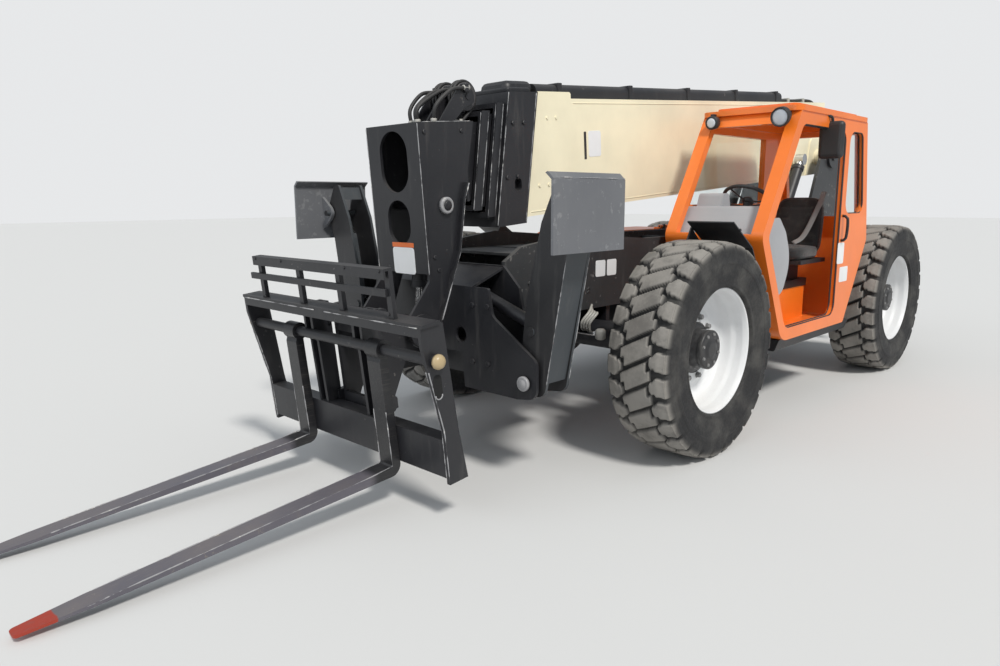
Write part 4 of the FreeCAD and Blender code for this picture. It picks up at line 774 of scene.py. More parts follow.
BELT_GREY = painted("belt_grey", (0.22, 0.22, 0.22), (0.3, 0.3, 0.3), wear=0.1, dusting=0.2, rough=0.7)
RED_LAMP = painted("red_lamp", (0.55, 0.012, 0.01), (0.3, 0.02, 0.02), wear=0.05, dusting=0.15, rough=0.15,
                   coat=0.6)
LAMP_GLASS = painted("pale_lamp_glass", (0.62, 0.66, 0.72), (0.5, 0.5, 0.5), wear=0.02, dusting=0.1,
                     rough=0.12, coat=0.8)
DEEP = painted("deep_shadow_black", (0.006, 0.006, 0.006), (0.02, 0.02, 0.02), wear=0.1, dusting=0.05,
               rough=0.8)
MIRROR_GLASS = painted("mirror_face", (0.75, 0.78, 0.8), (0.6, 0.6, 0.6), wear=0.02, dusting=0.08, rough=0.05)


# Bolts: name, node, starts, direction of sight, head radius, head height, body, finish
BOLTS = []
for which, side in SIDES:
    inward = (0, -side, 0)
    for name, node, radius, height, body, finish, places in (
            ("collar", "boom_collar", 0.014, 0.01, "boom_first", BLACK,
             ((4.425, 0.396), (4.52, 0.396), (4.5, 0.084), (4.592, 0.084))),
            ("mouth", "boom_base", 0.011, 0.007, "boom_first", CREAM,
             ((4.104, 0.423), (4.191, 0.423), (4.2, 0.016), (4.29, 0.016))),
            ("rear_pad", "boom_base", 0.011, 0.007, "boom_first", CREAM,
             ((0.45, 0.36), (0.62, 0.36), (0.45, 0.04), (0.78, 0.04))),
            ("head", "boom_head", 0.013, 0.009, "boom_fourth", BLACK,
             ((5.195, -0.31), (5.172, -0.385), (5.2, 0.36), (4.93, 0.36)))):
        starts = on_boom([(x, side * 0.6, z) for x, z in places])
        BOLTS.append((name + "_bolts_" + which, node, starts, inward, radius, height, body, finish))
    BOLTS += [
        ("side_plate_bolts_" + which, "chassis_frame",
         [(x, side * 1.6, z) for x in (-0.15, 0.05, 0.95, 1.15) for z in (0.6, 1.06)],
         inward, 0.014, 0.01, "chassis", CHARCOAL),
        ("weight_bolts_" + which, "counterweight",
         [(-4.6, side * y, z) for y in (0.2, 0.55) for z in (0.74, 1.1)],
         (1, 0, 0), 0.024, 0.016, "chassis", CASTING),
        ("fender_bolts_" + which, "fender_" + which, [(0.1, side * 1.6, 1.36)],
         inward, 0.01, 0.007, "steer_front_" + which, BLACK),
        ("nose_bolts_" + which, "outrigger_beam",
         [(2.6, side * y, z) for y in (0.38, 0.5) for z in (0.66, 0.98)],
         (-1, 0, 0), 0.016, 0.011, "chassis", BLACK),
        ("backrest_bolts_" + which, "load_backrest",
         [(3.2, side * y, z) for y, z in ((0.3, 1.235), (0.58, 1.03), (0.58, 1.235))],
         (-1, 0, 0), 0.009, 0.006, "fork_carriage", BLACK)]
BOLTS += [
    ("roof_bolts", "cab_roof", [(x, y, 2.6) for x in (-1.85, -1.3, -0.82) for y in (0.5, 1.13)],
     (0, 0, -1), 0.01, 0.006, "chassis", ORANGE),
    ("floor_bolts", "side_supports", [(x, 1.1, 2.0) for x in (-1.75, -1.5)],
     (0, 0, -1), 0.01, 0.007, "chassis", BLACK)]
SINK = 0.001


def add_bolts():
    for name, node, starts, towards, radius, height, body, finish in BOLTS:
        places = all_hits(node, starts, towards)
        if places:
            axis = -np.array(towards)
            places = [place - SINK * axis for place in places]
            fit(hex_heads(name, places, axis, radius, height, finish), body)


# Blank labels, and a black plate of painted shade for the boom's slit: name, node, start, direction of
# sight, up, width, height, body, finish
FROM_LEFT = (0, -1, 0)
LABELS = [
    ("boom_label_left", "boom_base", on_boom((3.712, 0.6, 0.253)), FROM_LEFT, BOOM_UP, 0.135, 0.168,
     "boom_first", LABEL_WHITE),
    # The boom's slit: a flat black plate standing for the shade inside it, painted shade
    ("boom_slit_shade_left", "boom_base", on_boom((3.815, 0.6, 0.244)), FROM_LEFT, BOOM_UP, 0.024, 0.178,
     "boom_first", BLACK),
    ("frame_label_a", "chassis_frame", (0.443, 1.4, 1.1), FROM_LEFT, UP, 0.106, 0.108, "chassis",
     LABEL_WHITE),
    ("frame_label_b", "chassis_frame", (0.318, 1.4, 1.1), FROM_LEFT, UP, 0.106, 0.108, "chassis",
     LABEL_WHITE),
    ("cab_label_a", "cab_shell", (-1.6, 1.5, 1.125), FROM_LEFT, UP, 0.13, 0.165, "chassis", LABEL_WHITE),
    ("cab_label_b", "cab_shell", (-1.69, 1.5, 0.955), FROM_LEFT, UP, 0.17, 0.12, "chassis", LABEL_WHITE),
    ("head_label", "boom_head", on_boom((6.0, 0.015, -0.332)), -FORWARD, BOOM_UP, 0.19, 0.15, "boom_fourth",
     LABEL_WHITE),
    ("head_label_stripe", "boom_head", on_boom((6.0, 0.015, -0.243)), -FORWARD, BOOM_UP, 0.19, 0.026,
     "boom_fourth", LABEL_ORANGE)]
LABEL_THICK = 0.0016
LABEL_CORNER = 0.12


def add_labels():
    for name, node, start, towards, up, width, height, body, finish in LABELS:
        place = face_hit(node, start, towards)
        if place is None:
            continue
        across = np.cross(np.array(up, float), -np.array(towards, float))
        outline = rounded_outline(width, height, min(width, height) * LABEL_CORNER)
        fit(plate(name, outline, place, across, up, LABEL_THICK, finish), body)


# Painted highlights down the edges of the boom's ribs, drawn as bright strips: name, body, width, first
# seed, side plane, top, foot, x at top and at foot
RIB_EDGES = (
    ("collar_edges_", "boom_first", 0.0035, 0, 0.2352, 0.57, -0.19, ((4.297, 4.448), (4.54, 4.696))),
    ("mid_rib_edges_", "boom_second", 0.003, 20, 0.2105, 0.505, -0.13, ((4.628, 4.75), (4.566, 4.69))),
    ("inner_rib_edges_", "boom_third", 0.003, 30, 0.1835, 0.46, -0.085, ((4.728, 4.836), (4.662, 4.772))))
DOUBLER = ((3.95, 0.47), (4.304, 0.47), (4.276, 0.574), (4.262, 0.58), (3.962, 0.58), (3.95, 0.568))
CHEEK = ((5.045, -0.135), (5.225, -0.135), (5.225, -0.42), (5.105, -0.42), (5.055, -0.28))


def boom_plate(name, which, side, corners, y, thick, finish):
    """A flat plate on one side of the boom; its corners are given forward and up."""
    outline = [(side * x, z) for x, z in corners]
    return plate(name + which, outline, on_boom((0, side * y, 0)), FORWARD * side, BOOM_UP, thick, finish)


def add_boom_details():
    for which, side in SIDES:
        # Doubler that stands a little over the base section's top at its mouth
        fit(boom_plate("mouth_doubler_", which, side, DOUBLER, 0.2195, 0.006, CREAM), "boom_first")
        # Weld runs along the box beam's top and bottom edges
        runs = [weld_bead("weld", on_boom([(0.3, side * 0.2205, z), (x, side * 0.2205, z)]), 0.0035, CREAM)
                for z, x in ((0.512, 3.93), (-0.14, 4.38))]
        fit(joined("base_welds_" + which, runs), "boom_first")
        # Bright strips down the ribs' edges: painted highlights
        for name, body, width, seed, y, top, foot, pairs in RIB_EDGES:
            edges = [wear_and_highlight_edge("edge", on_boom([(x, side * y, top), (x_foot, side * y, foot)]), width,
                               seed + i)
                     for i, (x, x_foot) in enumerate(pairs)]
            fit(joined(name + which, edges), body)
        # The head's rear flange, front corner and top
        flange = [(4.925, 0.074), (4.96, -0.01), (5.022, -0.297), (5.2, -0.66)]
        edges = [wear_and_highlight_edge("edge", on_boom([(x, side * y, z) for x, z in line]), width, 40 + i)
                 for i, (line, y, width) in enumerate((
                     (flange, 0.2535, 0.0045), ([(5.2445, 0.405), (5.2445, -0.4)], 0.2255, 0.0028),
                     ([(4.86, 0.4112), (5.24, 0.4112)], 0.2255, 0.0025)))]
        fit(joined("head_edges_" + which, edges), "boom_fourth")
        fit(boom_plate("head_cheek_", which, side, CHEEK, 0.225, 0.009, BLACK), "boom_fourth")
        pin = on_boom((5.09, side * 0.245, -0.036))
        for name, corners, finish in (
                ("head_pin_ring_", [(-0.022, 0.0), (-0.022, 0.046), (-0.001, 0.046), (0.003, 0.042),
                                    (0.003, 0.03), (0.001, 0.029), (0.001, 0.0)], BRIGHT_EDGE),
                ("head_pin_cap_", [(-0.01, 0.0), (-0.01, 0.026), (0.007, 0.026), (0.01, 0.022),
                                   (0.01, 0.0)], BLACK)):
            fit(turned_on(name + which, pin, (0, side, 0), corners, finish), "boom_fourth")
    # Rounded cap over the mouth, ahead of the hose cover
    for name, low, high, radius in (("mouth_cap", (4.19, -0.125, 0.56), (4.44, 0.125, 0.655), 0.045),
                                    ("mouth_bridge", (4.3, -0.19, 0.57), (4.5, 0.19, 0.605), 0.012)):
        fit(rounded_block(name, low, high, radius, BLACK, on_boom), "boom_first")
    straps = [rounded_block("strap", (x - 0.022, -0.137, 0.535), (x + 0.022, 0.137, 0.6465), 0.006, BLACK,
                            on_boom)
              for x in (0.75, 1.55, 2.35, 3.15, 3.95)]
    fit(joined("hose_cover_straps", straps), "boom_first")


# The sheaves' common centre (x, z) on the boom, and how far from it the hoses lie
SHEAVE = (4.76, 0.554)
HOSE_BEND = 0.088
SHEAVE_HALF = [(0.016, 0.0772), (0.02, 0.08), (0.031, 0.08), (0.031, 0.07), (0.0285, 0.066),
               (0.0285, 0.055), (0.03, 0.02), (0.03, 0.0)]


def boom_fitting(place, axis, foot, radius, top, chamfer):
    """A hexagonal hose fitting on the boom, from foot to top along its axis, its top edge chamfered."""
    corners = [(foot, 0.0), (foot, radius), (top - 0.004, radius), (top, radius - chamfer), (top, 0.0)]
    return turned_on("fitting", on_boom(place), axis, corners, ZINC, 6)


def add_hoses():
    """Hoses laid round the two sheaves, with hexagonal fittings at both ends."""
    hoses, fittings = [], []
    for y in (-0.084, -0.056, 0.056, 0.084):
        round_sheave = [(SHEAVE[0] + HOSE_BEND * math.cos(t), y, SHEAVE[1] + HOSE_BEND * math.sin(t))
                        for t in np.radians(np.arange(-62, 246, 14))]
        path = [(4.915, y, 0.412), (4.882, y, 0.44)] + round_sheave + [(4.775, y, 0.428), (4.8, y, 0.412)]
        hoses.append(swept("hose", on_boom(smooth_path(path, 0.012)), 0.0095, HOSE, 12))
        fittings += [boom_fitting((x, y, 0.408), BOOM_UP, 0.0, 0.015, 0.024, 0.003) for x in (4.915, 4.8)]
    for y, reach in ((-0.13, 0.16), (-0.03, 0.19), (0.03, 0.22), (0.13, 0.17)):
        end = (4.85 + reach, y * 0.8)
        path = [(4.8, y, 0.6), (4.9, y, 0.585), (4.84 + reach, y * 0.9, 0.5), (*end, 0.412)]
        hoses.append(swept("hose", on_boom(smooth_path(path, 0.012)), 0.0115, HOSE, 12))
        fittings.append(boom_fitting((*end, 0.408), BOOM_UP, 0.0, 0.018, 0.03, 0.004))
        fittings.append(boom_fitting((4.79, y, 0.601), FORWARD, -0.03, 0.016, 0.016, 0.004))
    block = rounded_block("block", (4.77, -0.145, 0.575), (4.8, 0.145, 0.625), 0.006, BLACK, on_boom)
    for name, pieces in (("sheave_hoses", hoses), ("sheave_fittings", fittings),
                         ("sheave_hose_block", [block])):
        fit(joined(name, pieces), "boom_fourth")
    corners = [(-x, radius) for x, radius in SHEAVE_HALF[::-1]] + SHEAVE_HALF
    for which, y in (("right", -0.07), ("left", 0.07)):
        fit(turned_on("sheave_face_" + which, on_boom((SHEAVE[0], y, SHEAVE[1])), (0, 1, 0), corners, STEEL,
                      64), "boom_fourth")


# Axles: name, centre, the way that its steering cylinder lies; the cylinder's offset and height
AXLES = (("front", 0.415, 1), ("rear", -2.835, -1))
CYLINDER_OFF = 0.228
CYLINDER_Z = 0.7


def add_axle_details():
    for end, centre, ahead in AXLES:
        x = centre + ahead * CYLINDER_OFF
        barrel = [(-0.2, 0.0), (-0.2, 0.03), (-0.195, 0.036), (-0.17, 0.036), (-0.168, 0.032),
                  (0.168, 0.032), (0.17, 0.036), (0.195, 0.036), (0.2, 0.03), (0.2, 0.0)]
        pieces = [turned_on("barrel", (x, 0, CYLINDER_Z), (0, 1, 0), barrel, BLACK)]
        for y in (-0.12, 0.12):
            pieces.append(rounded_block("lug", (min(x, x - ahead * 0.09), y - 0.02, 0.66),
                                        (max(x, x - ahead * 0.09), y + 0.02, 0.74), 0.006, BLACK))
        fit(joined("steer_cylinder_" + end, pieces), "chassis")
        rods, joints_made = [], []
        for side in (1, -1):
            rod = straight_path([(x, side * 0.19, CYLINDER_Z), (x, side * 0.5, CYLINDER_Z)])
            rods.append(swept("rod", rod, 0.016, CHROME, 16))
            joints_made.append(turned_on("joint", (x, side * 0.535, CYLINDER_Z), UP,
                                         [(-0.035, 0.0), (-0.035, 0.022), (-0.025, 0.034), (0.025, 0.034),
                                          (0.035, 0.022), (0.035, 0.0)], ZINC, 20))
        fit(joined("steer_rods_" + end, rods), "chassis")
        fit(joined("steer_joints_" + end, joints_made), "chassis")
        hoses = []
        for y, rise in ((0.1, 0.03), (0.15, 0.05), (-0.1, 0.04), (-0.15, 0.06)):
            side = 1 if y > 0 else -1
            path = [(x, y, 0.73), (x + ahead * 0.03, y * 1.2, 0.79 + rise),
                    (x + ahead * 0.02, side * 0.32, 0.86 + rise),
                    (x - ahead * 0.08, side * 0.375, 0.93 + rise)]
            hoses.append(swept("hose", smooth_path(path), 0.01, HOSE, 10))
        fit(joined("steer_hoses_" + end, hoses), "chassis")
        bright = []
        for side in (1, -1):
            for k in range(4):
                off = 0.022 * k
                path = [(x - ahead * 0.01, side * (0.44 - off), 0.716),
                        (x + ahead * 0.03, side * (0.47 - off), 0.77),
                        (x - ahead * 0.02, side * (0.49 - off), 0.83),
                        (x - ahead * 0.1, side * 0.385, 0.8 + off)]
                bright.append(swept("hose", smooth_path(path), 0.0085, ZINC, 10))
        fit(joined("axle_pipes_" + end, bright), "chassis")


def rounded_loop(corners, spacing=0.012):
    """A closed line through corners of (x, z, radius), each rounded by a quadratic curve between its
    tangent points."""
    out = []
    count = len(corners)
    for i in range(count):
        here = np.array(corners[i][:2])
        before, after = np.array(corners[i - 1][:2]), np.array(corners[(i + 1) % count][:2])
        radius = corners[i][2]
        a = (before - here) / np.linalg.norm(before - here)
        b = (after - here) / np.linalg.norm(after - here)
        half = math.acos(float(np.clip(np.dot(a, b), -1, 1))) / 2
        back = radius / math.tan(half)
        start, finish = here + a * back, here + b * back
        for t in np.linspace(0, 1, 9):
            out.append((1 - t) ** 2 * start + 2 * t * (1 - t) * here + t * t * finish)
    out.append(out[0])
    return straight_path(out, spacing)


# Door and quarter window: corners forward of the cab's place as (x, z, radius)
DOOR = [(1.285, 0.645, .09), (2.187, 0.645, .11), (2.528, 1.298, .06), (2.081, 2.055, .09),
        (1.285, 2.055, .09)]
EDGE_FOOT, EDGE_HEAD, SILL = (0.77, 1.226), (0.93, 2.055), 1.43
WAIST = EDGE_FOOT[0] + (SILL - EDGE_FOOT[1]) / (EDGE_HEAD[1] - EDGE_FOOT[1]) * (EDGE_HEAD[0] - EDGE_FOOT[0])
QUARTER = [(WAIST, SILL, .08), (1.205, SILL, .09), (1.205, EDGE_HEAD[1], .09), (*EDGE_HEAD, .06)]
CAB_SKINS = (("", 1.172), ("_inner", 1.138))
GLASS_Y = 1.15


def add_cab_details():
    for name, corners in (("door_seal", DOOR), ("quarter_seal", QUARTER)):
        loop = rounded_loop([(x + CAB_X, z, r) for x, z, r in corners])
        for tag, y in CAB_SKINS:
            path = np.stack([loop[:, 0], np.full(len(loop), y), loop[:, 1]], axis=-1)
            fit(swept(name + tag, path, 0.007, SEAL, 8), "chassis")
    # The loop left over is the quarter window's
    middle = loop.mean(axis=0)
    fit(plate("quarter_glass", [(middle[0] - x, z - middle[1]) for x, z in loop[:-1:3]],
              (middle[0], GLASS_Y, middle[1]), (-1, 0, 0), UP, 0.005, GLASS, 0.1), "chassis")
    # Mirror: rounded housing, its glass, and the arm from the header
    body = rounded_block("mirror_housing", (-1.252, 1.105, 1.835), (-1.186, 1.283, 2.1), 0.03, PLASTIC)
    fit(body, "chassis")
    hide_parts("cab_mirror")
    fit(plate("mirror_glass", rounded_outline(0.15, 0.235, 0.025), (-1.2515, 1.194, 1.967), (0, -1, 0), UP,
              0.002, MIRROR_GLASS), "chassis")
    arm = smooth_path([(-1.215, 1.194, 2.09), (-1.2, 1.194, 2.125), (-1.16, 1.17, 2.14),
                       (-1.13, 1.12, 2.15)], 0.01)
    fit(swept("mirror_arm", arm, 0.01, PLASTIC, 10), "chassis")
    # Work lamp: bezel and pale glass
    aim = np.array((1.0, 0.0, -0.17))
    aim /= np.linalg.norm(aim)
    front = face_hit("work_lamp", tuple(np.array((-0.63, 1.09, 2.1)) + aim * 0.4), tuple(-aim))
    bezel = turned_on("lamp_bezel", front, aim, [(-0.03, 0.063), (0.008, 0.063), (0.01, 0.06),
                                                 (0.003, 0.053), (-0.03, 0.053), (-0.03, 0.063)], PLASTIC)
    lens = turned_on("lamp_lens", front, aim, [(-0.02, 0.0), (-0.02, 0.054), (0.001, 0.054), (0.005, 0.04),
                                               (0.008, 0.0)], LAMP_GLASS)
    for piece in (bezel, lens):
        fit(piece, "chassis")
    # Small lamp at the roof's other front corner and one at the rear
    for name, x, y, turn in (("roof_lamp_right", -0.64, 0.56, 1), ("roof_lamp_rear", -2.02, 0.815, -1)):
        fit(turned_on(name, (x, y, 2.095), (turn, 0, -0.1),
                      [(-0.045, 0.0), (-0.045, 0.03), (-0.02, 0.045), (0.03, 0.048), (0.034, 0.044),
                       (0.03, 0.0)], PLASTIC), "chassis")
        fit(turned_on(name + "_glass", (x + turn * 0.03, y, 2.092), (turn, 0, -0.1),
                      [(-0.01, 0.0), (-0.01, 0.041), (0.002, 0.041), (0.006, 0.0)], LAMP_GLASS), "chassis")
        fit(rounded_block(name + "_foot", (x - 0.02, y - 0.015, 2.1), (x + 0.02, y + 0.015, 2.155), 0.004,
                          BLACK), "chassis")
    # Grab rail beside the door, seat belt, levers
    rail = smooth_path([(-1.588, 1.176, 1.225), (-1.588, 1.215, 1.245), (-1.59, 1.218, 1.395),
                        (-1.59, 1.176, 1.415)])
    fit(swept("door_rail", rail, 0.011, BLACK), "chassis")
    belt = smooth_path([(-1.7, 0.985, 1.6), (-1.64, 0.975, 1.5), (-1.56, 0.9, 1.26),
                        (-1.5, 0.84, 1.195)])
    fit(swept("seat_belt", belt, 0.022, BELT_GREY, 10, 0.12, (1, 0, 0)), "chassis")
    lever = smooth_path([(-1.12, 0.56, 1.15), (-1.08, 0.56, 1.28), (-1.07, 0.56, 1.36)])
    fit(swept("side_lever", lever, 0.009, BLACK), "chassis")
    fit(turned_on("side_lever_knob", (-1.069, 0.56, 1.385), UP,
                  [(-0.035, 0.0), (-0.035, 0.012), (-0.01, 0.024), (0.015, 0.024), (0.032, 0.012),
                   (0.034, 0.0)], PLASTIC), "chassis")
    fit(rounded_block("side_console", (-1.45, 0.51, 1.02), (-1.02, 0.585, 1.16), 0.02, PLASTIC), "chassis")


STEERING_R = 0.176
STEERING_GRIP = 0.0135
STEERING_TILT = math.radians(35)


def add_steering_wheel():
    axis, a, b = square_to((-math.sin(STEERING_TILT), 0, math.cos(STEERING_TILT)))
    low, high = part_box("steering_wheel")
    middle = np.array(((low[0] + high[0]) / 2 - 0.0035, 0.8, 1.53 + axis[2] * 0.012))
    turn = np.linspace(0, 2 * np.pi, 72, endpoint=False)[:, None]
    outward = (np.cos(turn) * a + np.sin(turn) * b)[:, None]
    tube = np.linspace(0, 2 * np.pi, 12, endpoint=False)[None, :, None]
    reach = STEERING_R + STEERING_GRIP * np.cos(tube)
    grid = middle + reach * outward + STEERING_GRIP * np.sin(tube) * axis
    rim = close_poles(skin_from_grid("steering_rim", grid, True, True, PLASTIC))
    pieces = []
    for angle in (0, 120, 240):
        t = math.radians(angle)
        end = middle + 0.172 * (math.cos(t) * a + math.sin(t) * b)
        path = smooth_path([middle - axis * 0.012, (middle + end) / 2 - axis * 0.012, end], 0.02)
        pieces.append(swept("spoke", path, 0.014, PLASTIC, 10, 0.4))
    pieces.append(turned_on("hub", middle, axis, [(-0.03, 0.0), (-0.03, 0.03), (-0.02, 0.042), (0.0, 0.042),
                                                  (0.012, 0.03), (0.014, 0.0)], PLASTIC))
    pieces.append(swept("column", straight_path([middle - axis * 0.3, middle - axis * 0.02]), 0.026, PLASTIC,
                        20))
    spokes = joined("steering_spokes", pieces)
    for piece in (rim, spokes):
        fit(piece, "chassis")
    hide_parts("steering_wheel")
    for name, side in (("signal_lever", 1), ("travel_lever", -1)):
        start = middle - axis * 0.06
        end = start + np.array((-0.02, side * 0.16, 0.02))
        fit(swept(name, smooth_path([start, (start + end) / 2 + (0, 0, 0.004), end]), 0.006, PLASTIC, 8),
            "chassis")


# Rear lamps: name, lowest and highest corner from the place on the counterweight, finish
REAR_LAMPS = (
    ("tail_housing_", (-0.03, -0.095, -0.055), (0.004, 0.095, 0.055), PLASTIC),
    ("tail_lamp_", (-0.04, -0.085, -0.042), (-0.012, 0.02, 0.042), RED_LAMP),
    ("turn_lamp_", (-0.04, 0.026, -0.042), (-0.012, 0.085, 0.042), LABEL_ORANGE))


def add_rear_and_hood():
    for which, side in SIDES:
        place = face_hit("counterweight", (-4.6, side * 0.62, 1.08), (1, 0, 0))
        if place is not None:
            for name, low, high, finish in REAR_LAMPS:
                fit(rounded_block(name + which, place + low, place + high, 0.01, finish), "chassis")
    for i, x in enumerate((-1.7, -0.7)):
        place = face_hit("engine_hood", (x, -1.6, 1.00), (0, 1, 0))
        if place is not None:
            fit(rounded_block("hood_latch_%d" % i, place + (-0.03, -0.016, -0.05),
                              place + (0.03, 0.002, 0.05), 0.01, PLASTIC), "hood")
    grip = face_hit("engine_hood", (-1.2, -1.6, 0.7), (0, 1, 0))
    if grip is not None:
        path = smooth_path([grip + (-0.1, 0.0, 0), grip + (-0.09, -0.035, 0), grip + (0.09, -0.035, 0),
                            grip + (0.1, 0.0, 0)], 0.01)
        fit(swept("hood_handle", path, 0.008, BLACK), "hood")


def add_carriage_details():
    pieces = []
    for i, side in enumerate((1, -1)):
        line = on_carriage([(0.484, side * 0.05, 0.194), (0.484, side * 0.8, 0.194)])
        pieces.append(wear_and_highlight_edge("edge", line, 0.0035, 60 + i))
    fit(joined("carriage_edges", pieces), "fork_carriage")
    for which, side in SIDES:
        end = on_carriage((0.42, side * 0.846, 0.028))
        fit(turned_on("shaft_knob_" + which, end, (0, side, 0),
                      [(-0.004, 0.0), (-0.004, 0.036), (0.006, 0.036), (0.018, 0.031), (0.026, 0.02),
                       (0.029, 0.0)], BRASS), "fork_carriage")
        # Lightening slot below the shaft, drawn as a black plate of painted shade with a bright worn lower
        # lip
        place = face_hit("carriage", on_carriage((0.415, side * 1.4, -0.1)), (0, -side, 0))
        if place is not None:
            slot = [(side * x, z) for x, z in rounded_outline(0.05, 0.12, 0.024)]
            across = CARRIAGE_FORWARD * side
            fit(plate("carriage_slot_" + which, slot, place, across, CARRIAGE_UP, 0.0012, DEEP),
                "fork_carriage")
            lip = [place + across * 0.021 * math.cos(t) + CARRIAGE_UP * (-0.038 + 0.021 * math.sin(t))
                   + (0, side * 0.0015, 0) for t in np.linspace(math.pi, 2 * math.pi, 9)]
            fit(swept("carriage_slot_lip_" + which, lip, 0.0035, BRIGHT_EDGE, 6), "fork_carriage")
        # Worn edges that follow the end plate and the tine, found by looking along X at each height
        lines = []
        for j, (node, y, low, high) in enumerate((
                ("carriage", 0.819, -0.56, 0.17), ("carriage", 0.799, -0.56, 0.17),
                ("fork_tines", 0.4412, -0.62, -0.1), ("fork_tines", 0.3388, -0.62, -0.1))):
            starts = on_carriage([(2.2, side * y, z) for z in np.linspace(high, low, 26)])
            lines.append(wear_and_highlight_edge("edge", all_hits(node, starts, (-1, 0, 0)), 0.0032, 100 + 10 * j + side))
        fit(joined("carriage_worn_" + which, lines), "fork_carriage")


def add_leg_details():
    for which, side in SIDES:
        low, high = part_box("outrigger_pad_" + which)
        y = side * (high[1] if side > 0 else -low[1]) - side * 0.001
        line = [(low[0] + 0.004, y, 1.655), (high[0] - 0.004, y, 1.655)]
        fit(wear_and_highlight_edge("pad_edge_" + which, line, 0.003, 80 + side), "support_pad_" + which)
        # Worn edges down the leg's outer face, and the bright ring of its pivot pin
        lines = []
        for j, x in enumerate((1.5835, 1.3965)):
            starts = [(x, side * 1.8, z) for z in np.linspace(1.26, 0.6, 30)]
            found = all_hits("outrigger_leg_" + which, starts, (0, -side, 0))
            lines.append(wear_and_highlight_edge("edge", found, 0.0035, 140 + 10 * j + side))
        fit(joined("leg_worn_" + which, lines), "support_leg_" + which)
        pivot = joints["outrigger_swing_" + which]["pos_m"]
        place = face_hit("outrigger_beam", (2.6, pivot[1], pivot[2]), (-1, 0, 0))
        if place is not None:
            fit(turned_on("leg_pin_ring_" + which, place, (1, 0, 0),
                          [(-0.01, 0.0), (-0.01, 0.04), (0.004, 0.04), (0.008, 0.034), (0.004, 0.026),
                           (0.01, 0.022), (0.012, 0.0)], BRIGHT_EDGE), "chassis")


def add_boom_rear():
    """Extension cylinder inside the sections, its cross pin, and hoses that loop from the cover into the
    rear end."""
    barrel = turned_on("extension_cylinder", on_boom((0.15, 0, 0.2)), FORWARD,
                       [(0.0, 0.0), (0.0, 0.05), (0.012, 0.056), (0.1, 0.056), (0.104, 0.05),
                        (1.45, 0.05), (1.455, 0.0)], BLACK, 32, 0.1)
    fit(barrel, "boom_first")
    cross = turned_on("extension_pin", on_boom((0.2, 0, 0.2)), (0, 1, 0),
                      [(-0.215, 0.0), (-0.215, 0.026), (0.215, 0.026), (0.215, 0.0)], STEEL, 24, 0.1)
    fit(cross, "boom_first")
    hoses, clamps = [], []
    for i, y in enumerate((-0.095, -0.062, -0.029, 0.029, 0.062, 0.095)):
        sag = 0.012 * (i % 2)
        path = smooth_path([(0.7, y, 0.565), (0.3, y, 0.568), (-0.1, y, 0.567), (-0.235 - sag, y, 0.5),
                            (-0.262 - sag, y, 0.4), (-0.225, y, 0.315), (-0.1, y, 0.295), (0.08, y, 0.285)])
        hoses.append(swept("hose", on_boom(path), 0.0115, HOSE, 12))
    for x in (0.1, 0.45):
        clamps.append(rounded_block("clamp", (x - 0.018, -0.12, 0.535), (x + 0.018, 0.12, 0.59), 0.006,
                                    ZINC, on_boom))
    fit(joined("rear_hoses", hoses), "boom_first")
    fit(joined("rear_hose_clamps", clamps), "boom_first")


def fork_material():
    """Scraped steel with the left tine's tip painted red; the tip is found by its place along and
    across."""
    made, w, skin = new_material("fork_steel")
    given = weathered(w, (0.105, 0.1, 0.122), (0.2, 0.18, 0.165), (0.21, 0.175, 0.14), 0.4, 0.35, 0.34)
    place = w.place()
    to_node = nodes["fork_tines"].matrix_world.inverted()
    tip_x, heel_x = ((to_node @ Vector((x, 0.0, 0.0)))[0] for x in (3.79, 2.37))
    parts = w.parts(place)
    ragged = w.add(parts[0], w.times(w.noise(place, 30.0, 4.0), 0.03))
    tip = w.times(w.ramp(ragged, tip_x + 0.012, tip_x + 0.02), w.ramp(parts[1], 0.0, 0.01))
    scraped = w.ramp(w.noise(w.stretched(place, (3.0, 30.0, 30.0)), 4.0, 5.0), 0.56, 0.72)
    red = w.mix(scraped, (0.33, 0.035, 0.016), (0.14, 0.09, 0.08))
    long_marks = w.times(w.ramp(w.noise(w.stretched(place, (1.2, 26.0, 26.0)), 6.0, 5.0), 0.5, 0.8), 0.5)
    upright = w.mix(long_marks, (0.017, 0.017, 0.019), (0.1, 0.09, 0.082))
    level = w.mix(long_marks, given["Color"], (0.19, 0.17, 0.16))
    bare = w.mix(w.ramp(ragged, heel_x - 0.02, heel_x + 0.05), upright, level)
    w.put(skin.inputs["Base Color"], w.mix(tip, bare, red))
    w.put(skin.inputs["Roughness"], given["Roughness"])
    add_relief(w, skin, w.add(given["Height"], long_marks), 0.0012, 0.4)
    return made


def leg_material():
    """Dark leg paint, with a painted sky sheen: the faces that look outwards are a lighter bluish grey, as
    if lit by the sky; the face's own direction tells them apart."""
    made, w, skin = new_material("leg_paint")
    dust, amounts = (0.19, 0.18, 0.17), (0.35, 0.35, 0.42)
    dark = weathered(w, (0.018, 0.018, 0.02), (0.11, 0.105, 0.1), dust, *amounts)
    # A lighter bluish copy of the leg paint: painted sky light on the faces that look outwards
    painted_sky_sheen = weathered(w, (0.052, 0.06, 0.068), (0.15, 0.15, 0.15), dust, *amounts)
    turned = w.node("ShaderNodeVectorTransform", vector_type="NORMAL", convert_from="WORLD",
                    convert_to="OBJECT")
    w.put(turned.inputs[0], w.node("ShaderNodeNewGeometry").outputs["True Normal"])
    outward = w.ramp(w.math("ABSOLUTE", w.parts(turned.outputs[0])[1]), 0.6, 0.75)
    w.put(skin.inputs["Base Color"], w.mix(outward, dark["Color"], painted_sky_sheen["Color"]))
    w.put(skin.inputs["Roughness"], dark["Roughness"])
    add_relief(w, skin, dark["Height"], 0.0012)
    return made


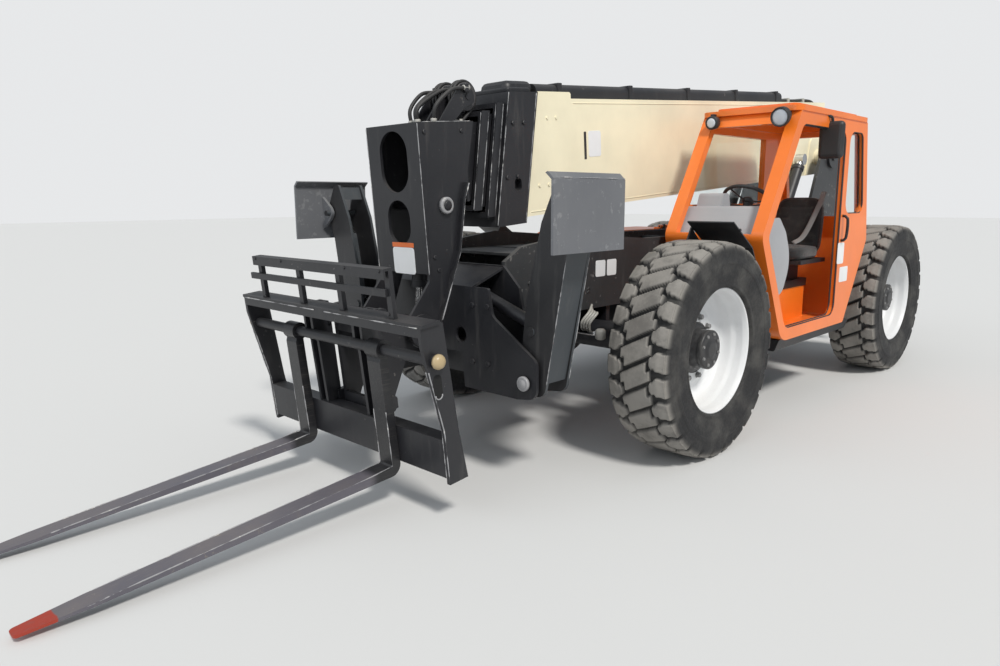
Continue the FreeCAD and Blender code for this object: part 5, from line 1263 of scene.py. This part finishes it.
dress_wheels()
dress_seat()
bpy.context.view_layer.update()
LEG_PAINT = leg_material()
nodes["fork_tines"].data.materials[0] = fork_material()
for which, _ in SIDES:
    nodes["outrigger_leg_" + which].data.materials[0] = LEG_PAINT
add_boom_rear()
add_bolts()
add_labels()
add_boom_details()
add_hoses()
add_axle_details()
add_cab_details()
add_steering_wheel()
add_rear_and_hood()
add_carriage_details()
add_leg_details()


# Stage: floor, soft light and the photograph's camera
def floor_material():
    made, _, skin = new_material("studio_floor")
    skin.inputs["Base Color"].default_value = (0.64, 0.64, 0.635, 1.0)
    skin.inputs["Roughness"].default_value = 0.85
    skin.inputs["Specular IOR Level"].default_value = 0.2
    return made


def add_floor():
    """A flat sheet on the ground, far larger than the machine."""
    reach = 60.0
    mesh = bpy.data.meshes.new("studio_floor")
    mesh.from_pydata([(-reach, -reach, 0), (reach, -reach, 0), (reach, reach, 0), (-reach, reach, 0)], [],
                     [(0, 1, 2, 3)])
    mesh.materials.append(floor_material())
    linked("studio_floor", mesh)


def add_world():
    world = bpy.data.worlds.new("studio_world")
    bpy.context.scene.world = world
    world.use_nodes = True
    w = Wires(world.node_tree)
    back = world.node_tree.nodes["Background"]
    path = w.node("ShaderNodeLightPath")
    shown = w.math("MAXIMUM", path.outputs["Is Camera Ray"], path.outputs["Is Transmission Ray"])
    w.put(back.inputs["Color"], w.mix(shown, (0.88, 0.94, 1.0), (0.8, 0.81, 0.82)))
    w.put(back.inputs["Strength"], w.ramp(shown, 0.0, 1.0, 0.5, 1.0))


def add_sun(name, towards, strength, angle, color):
    data = bpy.data.lights.new(name, "SUN")
    data.energy = strength
    data.angle = math.radians(angle)
    data.color = color
    linked(name, data).rotation_euler = Vector(towards).to_track_quat("-Z", "Y").to_euler()


# The camera as fitted to the photograph: place in metres, angles in degrees, lens in millimetres
CAMERA_PLACE = (4.4279, 3.337, 1.557)
CAMERA_YAW = 224.394
CAMERA_PITCH = -10.267
CAMERA_ROLL = -0.308
CAMERA_LENS = 26.6


def add_camera():
    yaw, pitch, roll = (math.radians(a) for a in (CAMERA_YAW, CAMERA_PITCH, CAMERA_ROLL))
    look = Vector((math.cos(pitch) * math.cos(yaw), math.cos(pitch) * math.sin(yaw), math.sin(pitch)))
    right = look.cross(Vector(UP)).normalized()
    up = right.cross(look)
    tilted_right = right * math.cos(roll) + up * math.sin(roll)
    tilted_up = up * math.cos(roll) - right * math.sin(roll)
    data = bpy.data.cameras.new("photo_camera")
    data.sensor_width = 36.0
    data.lens = CAMERA_LENS
    data.clip_end = 300.0
    obj = linked("photo_camera", data)
    turn = Matrix((tilted_right, tilted_up, -look)).transposed()
    obj.matrix_world = Matrix.Translation(CAMERA_PLACE) @ turn.to_4x4()
    bpy.context.scene.camera = obj


add_floor()
add_world()
add_sun("key_sun", (-0.35, -1.0, -1.25), 2.7, 10, (1.0, 0.97, 0.92))
add_sun("fill_sun", (-1.0, 0.2, -0.5), 0.7, 60, (0.92, 0.96, 1.0))
add_camera()
bpy.context.scene.view_settings.view_transform = "Standard"
